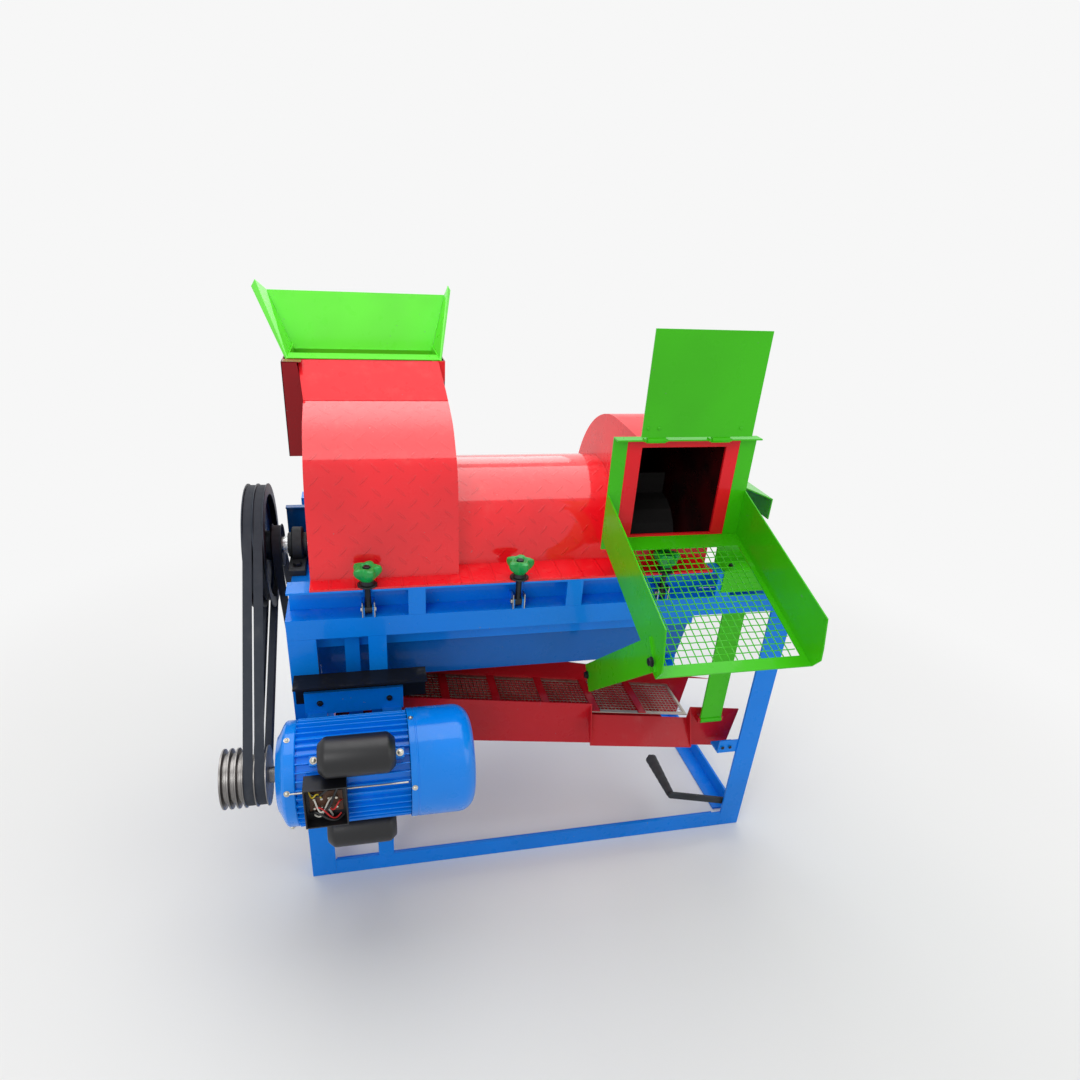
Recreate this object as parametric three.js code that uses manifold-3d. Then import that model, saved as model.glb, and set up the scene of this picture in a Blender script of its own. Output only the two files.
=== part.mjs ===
// Motor-driven millet thresher: angle-iron frame, spiked drum in a half-round cover,
// feed hopper, discharge chute with a wire floor, shaking grain tray and belt drive.
// Millimetres, +Z up, +X towards the discharge end, -Y towards the operator.
import * as THREE from 'three';
import { mergeVertices } from 'three/addons/utils/BufferGeometryUtils.js';
import Module from 'manifold-3d';

const wasm = await Module();
wasm.setup();

// General sizes
const gap = 0.3;
const overrun = 4;
const sheet = 2.5;
const plate = 4;
const roundSides = 20;
const smallSides = 8;
const weldShare = 0.001;

// Frame of angle iron
const frameLength = 1006;
const frameDepth = 500;
const railTop = 645;
const railWidth = 40;
const railWall = 5;
const legWidth = 50;
const postLeft = 142;
const postWidth = 33;
const crossRailTop = 250;
const bracketLength = 46;
const bracketDepth = 33;
const bracketLow = 230;
const bracketHeight = 34;

// Ends and radius of the concave box, which the drum and the cover follow
const boxLeft = 46;
const boxEndInset = 202;
const boxRight = frameLength - boxEndInset;
const grateSideRoom = 85;
const grateRadius = frameDepth / 2 - grateSideRoom;

// Drum, shaft and bearings
const shaftY = frameDepth / 2;
const shaftAboveRail = 35;
const shaftZ = railTop + shaftAboveRail;
const shaftRadius = 17.5;
const shaftLeft = -96;
const boreClearance = 0.3;
const drumLeft = 60;
const drumEndRoom = 14;
const drumWall = 4;
const drumRight = boxRight - drumEndRoom;
const pegReach = 45;
const pegRoom = 25;
const drumRadius = grateRadius - pegReach - pegRoom;
const pegRadius = 7;
const pegRows = 4;
const pegPitch = 92;
const pegInset = 40;
const pegRoot = 6;
const paddleCount = 4;
const paddleLength = 120;
const paddleThickness = 6;
const bearingWidth = 38;
const bearingFoot = 150;
const bearingFootHeight = 15;
const bearingRadius = 33;

// Concave box below the drum
const flangeAboveRail = 52;
const flangeZ = railTop + flangeAboveRail;
const flangeLeft = 6;
const flangeEndInset = 46;
const flangeRight = frameLength - flangeEndInset;
const sideBelowRail = 83;
const sideLow = railTop - sideBelowRail;
const grateWall = 4;
const grateHalfAngle = 1.31;
const grateSegments = 12;
const slotColumns = 6;
const slotRows = 4;
const slotLength = 76;
const slotWidth = 44;
const tabWidth = 31;
const tabFirst = 216;
const tabMiddleShare = 0.6217;
const tabPastBox = 16;
const funnelFrontY = 82;
const funnelBackY = 185;
const funnelFrontDrop = 57;
const funnelBackDrop = 75;
const funnelTopDrop = 76;
const funnelTopShare = 0.69;
const funnelFrontLow = [funnelFrontY, shaftZ - grateRadius - funnelFrontDrop];
const funnelBackLow = [funnelBackY, shaftZ - grateRadius - funnelBackDrop];
const funnelTop = [shaftZ - funnelTopDrop, shaftZ - grateRadius * funnelTopShare];
const notchRadius = 20;

// Cover sections
const coverWall = 3;
const feedRight = 312;
const feedFront = 34;
const feedBackInset = 36;
const feedBack = frameDepth - feedBackInset;
const feedHeight = 308;
const dischargeLength = 170;
const middleRight = boxRight - dischargeLength - gap;
const middleLength = middleRight - feedRight;
const tabPlaces = [tabFirst, feedRight + middleLength * tabMiddleShare, boxRight + tabPastBox];
const coverRoom = 11;
const middleRadius = grateRadius + coverRoom;
const dischargeFront = 36;
const dischargeArcAhead = 76;
const dischargeArcRise = 31;
const dischargeBackInset = 94;
const dischargeSteps = 7;
const dischargeArcY = shaftY - dischargeArcAhead;
const dischargeArcZ = flangeZ + dischargeArcRise;
const dischargeArcRadius = frameDepth - dischargeBackInset - dischargeArcY;
const browHeight = 258;
const dischargeBrow = flangeZ + browHeight;
const throatRight = feedRight + gap + sheet;
const doorSideInset = 14;
const doorFrontInset = 180;
const doorBackInset = 54;
const doorDepthShare = 0.1;
const feedDoor = [boxLeft + doorSideInset, feedRight - doorSideInset,
  frameDepth - doorFrontInset, frameDepth - doorBackInset];
const feedProfileShares = [
  [0.005, 0.02], [0.03, 0.22], [0.058, 0.458], [0.105, 0.62], [0.165, 0.711],
  [0.265, 0.821], [0.444, 0.909], [0.64, 0.974], [0.898, 1], [1, 1],
];
const throatLeft = 8;
const throatDepth = 200;
const throatFront = frameDepth - throatDepth;
const throatRise = 30.7;
const throatHeight = 180;
const throatTop = flangeZ + plate + gap + feedHeight + throatRise;
const throatLow = throatTop - throatHeight;

// Hopper
const hopperLip = 72;
const hopperFootInset = 30;
const hopperLean = 80;
const hopperFoot = frameDepth - hopperFootInset;
const hopperRimY = hopperFoot + hopperLean;
const hopperBackHeight = 96;
const hopperTipHeight = 18;
const hopperBackTop = throatTop + hopperBackHeight;
const hopperTipTop = hopperBackTop + hopperTipHeight;
const hopperFlare = 45;
const hopperTipFlare = 62;
const hopperInset = 10;
const hopperFold = 15;

// Rear hinge of the cover
const hingeBehind = 8.5;
const hingeY = frameDepth + hingeBehind;
const hingeZ = flangeZ + gap + plate * 1.5;
const hingeRod = 4;
const hingeBarrel = 8;
const knuckleLength = 40;
const knuckleFirst = 110;
const knuckleMiddleShare = 0.4911;
const knuckleEndInset = 44;
const knucklePlaces = [knuckleFirst, feedRight + middleLength * knuckleMiddleShare,
  boxRight - knuckleEndInset];
const earThickness = 8;
const lugRelief = 3;

// Discharge opening, frame and flap
const rimWidth = 218;
const rimPastBox = 23;
const rimHeight = 198;
const rimAboveBrow = 1;
const rimRight = boxRight + rimPastBox;
const rimLeft = rimRight - rimWidth;
const rimTop = dischargeBrow + rimAboveBrow;
const rimLow = rimTop - rimHeight;
const openingTopInset = 13;
const openingLowInset = 14;
const rimOpening = [boxRight - dischargeLength + coverWall, boxRight - coverWall,
  rimLow + openingLowInset, rimTop - openingTopInset];
const outletWidth = 277;
const outletPastBox = 55;
const outletHeight = 216;
const outletAboveRim = 5;
const outletRight = boxRight + outletPastBox;
const outletLeft = outletRight - outletWidth;
const outletTop = rimTop + outletAboveRim;
const outletLow = outletTop - outletHeight;
const outletFlange = 22;
const flapInset = 40;
const flapLeft = outletLeft + flapInset;
const flapWidth = 210;
const flapHeight = 180;
const flapPin = 2.5;
const flapBarrel = 5.5;
const flapKnuckleInset = 28;
const flapKnuckleSpan = 122;
const flapKnuckles = [flapLeft + flapKnuckleInset, flapLeft + flapKnuckleInset + flapKnuckleSpan];
const flapKnuckleLength = 34;
const flapPinAhead = 6;

// Chute
const chuteBack = dischargeFront - coverWall - gap;
const chuteAboveLow = 21;
const chuteBackZ = outletLow + chuteAboveLow;
const chuteReach = 304.7;
const chuteDrop = 104;
const chuteSide = 90;
const chuteNose = 26;
const chuteStrip = 34;
const chuteBand = 12;
const chuteLip = 22;
const wire = 2.5;
const wireColumns = 7;
const wireRows = 6;
const braceWidth = 56;
const braceFrontInset = 30;
const braceFootY = 14;
const braceBelowRail = 183;
const braceLow = [braceFootY, railTop - braceBelowRail];

// Drive
const beltWidth = 15;
const beltThickness = 11;
const grooveWidth = 16.4;
const grooveDepth = 14;
const landWidth = 2.6;
const beltPlane = -80;
const drumPulleyRadius = 125;
const motorPulleyRadius = 52;
const stepRadius = 43;
const stepWidth = 17;
const stepShare = 0.75;
const freeGrooves = 3;
const freeGrooveWidth = 9;
const freeLand = 3.2;
const hubRadius = 30;
const webThickness = 14;
const shakerPulleyRadius = 80;

// Motor
const motorY = -108;
const motorBelowRail = 248;
const motorZ = railTop - motorBelowRail;
const motorLeft = -24;
const shieldLength = 40;
const shieldShare = 0.8;
const finLeft = 12;
const finRight = 203;
const motorCore = 85;
const finHeight = 9;
const finThickness = 4;
const finCount = 22;
const fanCoverRadius = 97;
const fanCoverRight = 319;
const fanCoverWall = 2.5;
const fanCoverNose = 66;
const motorShaft = 14;
const capRadius = 34;
const capLength = 126;
const capLeft = 52;
const capAngle = 0.875;
const capLowAngle = -1.417;
const capShoulderShare = 0.7;
const motorFootHigh = 98;
const motorFootLow = 49;
const motorFootThickness = 7;
const motorFootShare = 0.6;
const motorFootRight = 202;
const motorFootLeft = 20;
const motorRailLength = 240;
const motorRailHigh = 133;
const motorRailHeight = 62;
const motorRailDepth = 44;
const terminalLeft = 26;
const terminalLength = 70;
const terminalHeight = 84;
const terminalDepth = 34;
const terminalDown = 24;

// Shaking tray
const trayAngle = 0.143;
const trayX = 200;
const trayBelowRail = 327;
const trayZ = railTop - trayBelowRail;
const trayLeft = -139;
const trayRightInset = 164;
const trayRight = boxRight - trayRightInset;
const trayTail = 122;
const trayEnd = trayRight + trayTail;
const trayLipLength = 240;
const trayLipLeft = trayRight - trayLipLength;
const trayFront = 48;
const trayBack = 172;
const trayHeight = 106;
const screenLevel = 82;
const screenThickness = 2;
const lipReach = 48;
const lipDrop = 48;
const trayStroke = 6;
const holeColumns = 11;
const holeRows = 2;
const screenWeb = 14;
// Each hanger is a flat link on two pins along X: its middle, its width, the height of its
// upper pin, and its lower pin above the tray floor
const hangerThickness = 4;
const hangerPin = 3.5;
const hangerBarrel = 7;
const hangerLug = 5;
const hangerAhead = 16;
const hangerBehind = 19;
const frontHangerY = trayFront - hangerAhead;
const backHangerY = trayBack + hangerBehind;
const hangerLeftX = 111.5;
const hangerBackInset = 104;
const hangerBackX = boxRight - hangerBackInset;
const hangerEndInset = 115;
const hangerRightX = frameLength - hangerEndInset;
const hangerWidth = 27;
const hangerRightWidth = 50;
const frontHangerDrop = 55;
const rightHangerDrop = 25;
const backHangerDrop = 16;
const frontHangerTop = railTop - frontHangerDrop;
const rightHangerTop = railTop - rightHangerDrop;
const backHangerTop = funnelBackLow[1] - backHangerDrop;
const frontEyeLevel = 25;
const rightEyeLevel = 88;
const backEyeLevel = 20;
const frontHangers = [
  ['hanger_front_left', hangerLeftX, hangerWidth, frontHangerTop, frontEyeLevel],
  ['hanger_front_right', hangerRightX, hangerRightWidth, rightHangerTop, rightEyeLevel],
];
const backHangers = [
  ['hanger_back_left', hangerLeftX, hangerWidth, backHangerTop, backEyeLevel],
  ['hanger_back_right', hangerBackX, hangerWidth, backHangerTop, backEyeLevel],
];

// Shaker shaft
const shakerBackInset = 75;
const shakerAboveRail = 25;
const shakerY = frameDepth - shakerBackInset;
const shakerZ = crossRailTop + shakerAboveRail;
const shakerShaft = 12;
const eccentricX = 150;
const eccentricWidth = 16;
const eccentricRadius = 22;
const sleeveRadius = 21;
const ringWall = 8;
const rodThickness = 10;
const rodWidth = 22;
const rodRoom = 2;

// Latches
const latchFirst = 145;
const latchMiddleShare = 0.335716;
const latchEndInset = 97;
const latchPlaces = [latchFirst, feedRight + middleLength * latchMiddleShare,
  boxRight - latchEndInset];
const latchY = 8;
const latchPivotRise = 12;
const latchPivotZ = railTop + latchPivotRise;
const latchShank = 6;
const latchEye = 8;
const latchEyeWidth = 13;
const latchSlot = 8;
const latchLift = 1;
const knobRadius = 27;
const knobRise = 21;
const knobLow = flangeZ + knobRise;
const knobHeight = 26;
const latchStub = 2;
const latchTop = knobLow + knobHeight - latchStub;
const knobBoss = 12;
const knobLobes = 5;
const knobWaveShare = 0.12;

// Adjusting lever
const leverEndInset = 26;
const leverPivotZ = 64;
const leverRun = 160;
const leverRise = 43;
const leverPivot = [frameLength - leverEndInset, leverPivotZ];
const leverTip = [leverPivot[0] - leverRun, leverPivotZ + leverRise];
const leverPlane = 8;
const leverThickness = 6;
const leverWidth = 16;
const leverEyeShare = 0.8;
const gripLength = 132;
const gripRoot = 9;
const gripEnd = 14;
const leverPin = 5;

// Sheet guard over the right end of the shaft
const guardWidth = 200;
const guardFront = shaftY - guardWidth / 2;
const guardRise = 188;
const guardFall = 78;
const guardHigh = shaftZ + guardRise;
const guardEdge = guardHigh - guardFall;
const guardLip = 46;
const guardEndInset = 6;
const guardRight = frameLength - guardEndInset;

// Colours
const paint = {
  red: 0xe92f3c,
  darkRed: 0xb92733,
  green: 0x46b91d,
  hopperGreen: 0x68ea36,
  blue: 0x0a6cd2,
  motorBlue: 0x046fdc,
  black: 0x17181a,
  iron: 0x2c3136,
  steel: 0xb9bcc0,
  knobGreen: 0x17a04a,
  zinc: 0xc9c7bf,
};

const machine = new THREE.Group();

function finish(hex, roughness, metalness) {
  return new THREE.MeshStandardMaterial({ color: hex, roughness, metalness });
}

function add(name, geometry, hex, roughness = 0.35, metalness = 0) {
  const mesh = new THREE.Mesh(geometry, finish(hex, roughness, metalness));
  mesh.name = name;
  machine.add(mesh);
  return mesh;
}

// Solids from closed geometry and back again
function solid(geometry) {
  const bare = geometry.clone();
  bare.deleteAttribute('normal');
  bare.deleteAttribute('uv');
  const merged = mergeVertices(bare, gap * weldShare);
  return new wasm.Manifold(new wasm.Mesh({
    numProp: 3,
    vertProperties: new Float32Array(merged.attributes.position.array),
    triVerts: new Uint32Array(merged.index.array),
  }));
}

function geometryOf(body) {
  const mesh = body.getMesh();
  const geometry = new THREE.BufferGeometry();
  geometry.setAttribute('position', new THREE.BufferAttribute(mesh.vertProperties, 3));
  geometry.setIndex(new THREE.BufferAttribute(mesh.triVerts, 1));
  geometry.computeVertexNormals();
  return geometry;
}

function join(...parts) {
  return geometryOf(parts.map(solid).reduce((whole, next) => whole.add(next)));
}

function cut(base, ...tools) {
  return geometryOf(tools.map(solid).reduce((whole, next) => whole.subtract(next), solid(base)));
}

// A box between two corners
function box(x0, x1, y0, y1, z0, z1) {
  const geometry = new THREE.BoxGeometry(x1 - x0, y1 - y0, z1 - z0);
  geometry.translate((x0 + x1) / 2, (y0 + y1) / 2, (z0 + z1) / 2);
  return geometry;
}

// An outline of (a, b) points given depth, without bevels
function slab(points, depth, holes = []) {
  const shape = new THREE.Shape(points.map(([a, b]) => new THREE.Vector2(a, b)));
  holes.forEach((ring) => {
    shape.holes.push(new THREE.Path(ring.map(([a, b]) => new THREE.Vector2(a, b))));
  });
  return new THREE.ExtrudeGeometry(shape, { depth, bevelEnabled: false });
}

const axesYZX = new THREE.Matrix4().makeBasis(
  new THREE.Vector3(0, 1, 0), new THREE.Vector3(0, 0, 1), new THREE.Vector3(1, 0, 0));
const axesZXY = new THREE.Matrix4().makeBasis(
  new THREE.Vector3(0, 0, 1), new THREE.Vector3(1, 0, 0), new THREE.Vector3(0, 1, 0));

// An outline in (Y, Z) drawn out along X from x0 to x1
function alongX(points, x0, x1) {
  return slab(points, x1 - x0).applyMatrix4(axesYZX).translate(x0, 0, 0);
}

// An outline in (Z, X) drawn out along Y from y0 to y1
function alongY(points, y0, y1) {
  return slab(points.map(([x, z]) => [z, x]), y1 - y0).applyMatrix4(axesZXY).translate(0, y0, 0);
}

// A turned profile of (x, r) points about an axis along X through (y, z)
function turned(profile, y, z, sides = roundSides) {
  const points = profile.map(([x, r]) => new THREE.Vector2(r, x));
  const geometry = new THREE.LatheGeometry(points, sides);
  return geometry.rotateZ(-Math.PI / 2).translate(0, y, z);
}

function rodX(x0, x1, y, z, radius, sides = roundSides) {
  return turned([[x0, 0], [x0, radius], [x1, radius], [x1, 0]], y, z, sides);
}

function ringX(x0, x1, y, z, inner, outer, sides = roundSides) {
  return turned([[x0, inner], [x0, outer], [x1, outer], [x1, inner], [x0, inner]], y, z, sides);
}

// A flat sheet of given thickness on corner points in order, thickened away from the first side
function panel(corners, thickness) {
  const points = corners.map((corner) => new THREE.Vector3(...corner));
  const side = new THREE.Vector3().subVectors(points[1], points[0]);
  const other = new THREE.Vector3().subVectors(points[points.length - 1], points[0]);
  const normal = side.clone().cross(other).normalize();
  const across = normal.clone().cross(side.normalize());
  const frame = new THREE.Matrix4().makeBasis(side, across, normal);
  frame.setPosition(points[0]);
  const back = frame.clone().invert();
  const flat = points.map((point) => point.clone().applyMatrix4(back));
  return slab(flat.map((point) => [point.x, point.y]), Math.abs(thickness))
    .translate(0, 0, Math.min(thickness, 0)).applyMatrix4(frame);
}

// A flat lattice over u0..u1 and v0..v1: bars of one width around equal openings.
// Its corners lie on one grid of points, and a cell between two bars each way is left open.
function lattice(u0, u1, v0, v1, thickness, bar, columns, rows) {
  const lines = (from, to, count) => {
    const step = (to - from - bar) / count;
    return Array.from({ length: count + 1 }, (_, i) => from + i * step).flatMap((a) => [a, a + bar]);
  };
  const us = lines(u0, u1, columns);
  const vs = lines(v0, v1, rows);
  const positions = [0, thickness].flatMap((z) => us.flatMap((u) => vs.flatMap((v) => [u, v, z])));
  const at = (i, j, k) => (k * us.length + i) * vs.length + j;
  const filled = (i, j) => i >= 0 && j >= 0 && i < us.length - 1 && j < vs.length - 1
    && !(i % 2 === 1 && j % 2 === 1);
  const index = [];
  const quad = (a, b, c, d) => index.push(a, b, c, a, c, d);
  for (let i = 0; i < us.length - 1; i += 1) {
    for (let j = 0; j < vs.length - 1; j += 1) {
      if (filled(i, j)) {
        quad(at(i, j, 1), at(i + 1, j, 1), at(i + 1, j + 1, 1), at(i, j + 1, 1));
        quad(at(i, j, 0), at(i, j + 1, 0), at(i + 1, j + 1, 0), at(i + 1, j, 0));
        const rim = [[i, j, i + 1, j, i, j - 1], [i + 1, j, i + 1, j + 1, i + 1, j],
          [i + 1, j + 1, i, j + 1, i, j + 1], [i, j + 1, i, j, i - 1, j]];
        rim.filter((side) => !filled(side[4], side[5])).forEach(([a, b, c, d]) => {
          quad(at(a, b, 0), at(c, d, 0), at(c, d, 1), at(a, b, 1));
        });
      }
    }
  }
  const geometry = new THREE.BufferGeometry();
  geometry.setAttribute('position', new THREE.Float32BufferAttribute(positions, 3));
  geometry.setIndex(index);
  geometry.computeVertexNormals();
  return geometry;
}

// An arc of (a, b) points from one angle to another about (ca, cb)
function arc(ca, cb, radius, from, to, steps) {
  return Array.from({ length: steps + 1 }, (_, i) => {
    const angle = from + (to - from) * i / steps;
    return [ca + radius * Math.cos(angle), cb + radius * Math.sin(angle)];
  });
}

// The closed outline of a bent strip: its path, then the path set aside by a wall
function strip(path, wall) {
  const aside = path.map((point, i) => {
    const before = path[Math.max(i - 1, 0)];
    const after = path[Math.min(i + 1, path.length - 1)];
    const here = new THREE.Vector2(point[0] - before[0], point[1] - before[1]).normalize();
    const next = new THREE.Vector2(after[0] - point[0], after[1] - point[1]).normalize();
    const mean = here.clone().add(next).normalize();
    const reach = wall / Math.max(mean.dot(here.length() > 0 ? here : next), 0.5);
    return [point[0] - mean.y * reach, point[1] + mean.x * reach];
  });
  return [...path, ...aside.reverse()];
}

// Frame

// A leg: two flanges that meet at the outer corner, side 1 or -1 in X and in Y
function legShape(cornerX, cornerY, sideX, sideY) {
  const outline = [
    [0, 0], [legWidth, 0], [legWidth, railWall],
    [railWall, railWall], [railWall, legWidth], [0, legWidth],
  ].map(([a, b]) => [cornerX + a * sideX, cornerY + b * sideY]);
  return slab(sideX * sideY > 0 ? outline : outline.reverse(), railTop - railWidth - gap);
}

function makeFrame() {
  const rail = [[0, -railWidth], [railWall, -railWidth], [railWall, -railWall],
    [railWidth, -railWall], [railWidth, 0], [0, 0]];
  const low = [[0, 0], [railWidth, 0], [railWidth, railWall],
    [railWall, railWall], [railWall, railWidth], [0, railWidth]];
  const flip = (points, size) => points.map(([a, b]) => [size - a, b]).reverse();
  const lift = (points, z) => points.map(([a, b]) => [a, b + z]);
  const inner0 = railWidth + gap;
  const inner1 = frameDepth - railWidth - gap;
  add('leg_front_left', legShape(0, 0, 1, 1), paint.blue);
  add('leg_back_left', legShape(0, frameDepth, 1, -1), paint.blue);
  add('leg_back_right', legShape(frameLength, frameDepth, -1, -1), paint.blue);
  const legEdge = frameLength - legWidth;
  const bracket = join(
    box(legEdge - bracketLength, legEdge + railWall, railWall / 2, bracketDepth + railWall,
      bracketLow, bracketLow + railWall),
    box(legEdge - bracketLength, legEdge + railWall, railWall / 2, railWall,
      bracketLow, bracketLow + bracketHeight));
  add('leg_front_right', join(legShape(frameLength, 0, -1, 1), bracket), paint.blue);
  add('top_rail_front', alongX(lift(rail, railTop), 0, frameLength), paint.blue);
  add('top_rail_back', alongX(lift(flip(rail, frameDepth), railTop), 0, frameLength), paint.blue);
  add('top_rail_left', alongY(lift(rail, railTop), inner0, inner1), paint.blue);
  add('top_rail_right', alongY(lift(flip(rail, frameLength), railTop), inner0, inner1), paint.blue);
  const span0 = legWidth + gap;
  add('bottom_rail_front', alongX(low, span0, frameLength - span0), paint.blue);
  add('bottom_rail_back', alongX(flip(low, frameDepth), span0, frameLength - span0), paint.blue);
  add('bottom_rail_right', alongY(flip(low, frameLength), span0, frameDepth - span0), paint.blue);
  add('cross_rail_left', alongY(lift(rail, crossRailTop), span0, frameDepth - span0), paint.blue);
  const post = [
    [postLeft, 0], [postLeft + postWidth, 0], [postLeft + postWidth, railWall],
    [postLeft + railWall, railWall], [postLeft + railWall, railWidth], [postLeft, railWidth],
  ];
  const postHeight = railTop - 2 * railWidth - 2 * gap;
  add('motor_post', slab(post, postHeight).translate(0, 0, railWidth + gap), paint.blue);
}

// Concave box, grate and grain funnel

function makeConcave() {
  const face = railWidth + gap;
  const back = frameDepth - face;
  const slots = latchPlaces.map((x) => box(x - latchSlot, x + latchSlot,
    -overrun, latchY + latchSlot, flangeZ - overrun, flangeZ + plate + overrun));
  const ears = latchPlaces.flatMap((x) => [1, -1].map((side) => {
    const near = x + side * (latchEyeWidth / 2 + gap);
    const far = near + side * plate;
    return box(Math.min(near, far), Math.max(near, far), latchY - latchEye, face + sheet / 2,
      railTop + gap, latchPivotZ + latchEye);
  }));
  const hangerPins = frontHangers.flatMap(([, x, width, high]) => pinLugs(
    x, width, frontHangerY, high, frontHangerY - hangerPin, face + sheet / 2));
  const hangerPlate = box(hangerRightX - hangerRightWidth, hangerRightX + hangerRightWidth,
    face, face + sheet, frontHangers[1][3] - 2 * hangerBarrel, flangeZ);
  const tabs = tabPlaces.map((x) => box(x, x + tabWidth, 0, railWall,
    railTop + gap, flangeZ + plate / 2));
  add('concave_side_front', cut(join(
    box(flangeLeft, flangeRight, 0, face + sheet, flangeZ, flangeZ + plate),
    box(flangeLeft, flangeRight, face, face + sheet, railTop + gap, flangeZ + plate / 2),
    box(boxLeft, boxRight, face, face + sheet, sideLow, flangeZ),
    ...tabs, ...ears, ...hangerPins, hangerPlate), ...slots), paint.blue);

  const rodLugs = knucklePlaces.flatMap((x) => [1, -1].map((side) => {
    const near = x + side * (knuckleLength / 2 + gap);
    const far = near + side * earThickness;
    const ends = [Math.min(near, far), Math.max(near, far)];
    return [
      box(...ends, frameDepth - plate, hingeY + hingeRod, flangeZ, flangeZ + plate),
      box(...ends, frameDepth + gap, hingeY + hingeRod, flangeZ, hingeZ + hingeRod),
    ];
  }).flat());
  const rods = knucklePlaces.map((x) => rodX(x - knuckleLength / 2 - earThickness / 2,
    x + knuckleLength / 2 + earThickness / 2, hingeY, hingeZ, hingeRod, smallSides));
  add('concave_side_back', join(
    box(flangeLeft, flangeRight, back - sheet, frameDepth, flangeZ, flangeZ + plate),
    box(flangeLeft, flangeRight, back - sheet, back, railTop + gap, flangeZ + plate / 2),
    box(boxLeft, boxRight, back - sheet, back, sideLow, flangeZ),
    ...rodLugs, ...rods), paint.blue);

  const down = -Math.PI / 2;
  const bowl = arc(shaftY, shaftZ, grateRadius, down - grateHalfAngle, down + grateHalfAngle,
    grateSegments);
  const wing = bowl[0][1];
  const inside = face + sheet + gap;
  const path = [[inside, wing], ...bowl, [frameDepth - inside, wing]];
  const grate = alongX(strip(path, -grateWall), boxLeft + sheet + gap, boxRight - sheet - gap);
  const slotPitch = (drumRight - drumLeft) / slotColumns;
  const slotTools = [];
  for (let i = 0; i < slotColumns; i += 1) {
    for (let j = 0; j < slotRows; j += 1) {
      const x = drumLeft + (i + 0.5) * slotPitch;
      const turn = (j - (slotRows - 1) / 2) * (2 * grateHalfAngle / (slotRows + 1));
      const tool = box(x - slotLength / 2, x + slotLength / 2, -slotWidth / 2, slotWidth / 2,
        -grateRadius - grateWall - overrun, -grateRadius + grateWall * 2 + overrun);
      slotTools.push(tool.rotateX(turn).translate(0, shaftY, shaftZ));
    }
  }
  add('concave_grate', cut(grate, ...slotTools), paint.iron, 0.6, 0.6);

  const outline = [
    [inside, flangeZ + plate], [inside, funnelTop[0]], funnelFrontLow, funnelBackLow,
    [frameDepth - inside, funnelTop[1]], [frameDepth - inside, flangeZ + plate],
  ];
  const notch = (x0, x1) => [
    rodX(x0, x1, shaftY, shaftZ, notchRadius),
    box(x0, x1, shaftY - notchRadius, shaftY + notchRadius, shaftZ, flangeZ + plate + overrun),
  ];
  const endPlate = (x) => cut(alongX(outline, x, x + sheet),
    ...notch(x - overrun, x + sheet + overrun));
  add('concave_end_left', endPlate(boxLeft), paint.blue);
  const sheets = [
    [[inside, funnelTop[0]], funnelFrontLow], [funnelBackLow, [frameDepth - inside, funnelTop[1]]],
  ].map((path2) => alongX(strip(path2, sheet), boxLeft + sheet + gap, boxRight - sheet / 2));
  const backLugs = backHangers.flatMap(([, x, width, high]) => pinLugs(
    x, width, backHangerY, high, funnelBackLow[0], backHangerY + hangerBarrel,
    funnelBackLow[1] + sheet));
  add('grain_funnel', join(endPlate(boxRight - sheet), ...sheets, ...backLugs), paint.blue);
}

// Cover: three housings on one flange line, throat and hopper

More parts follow.
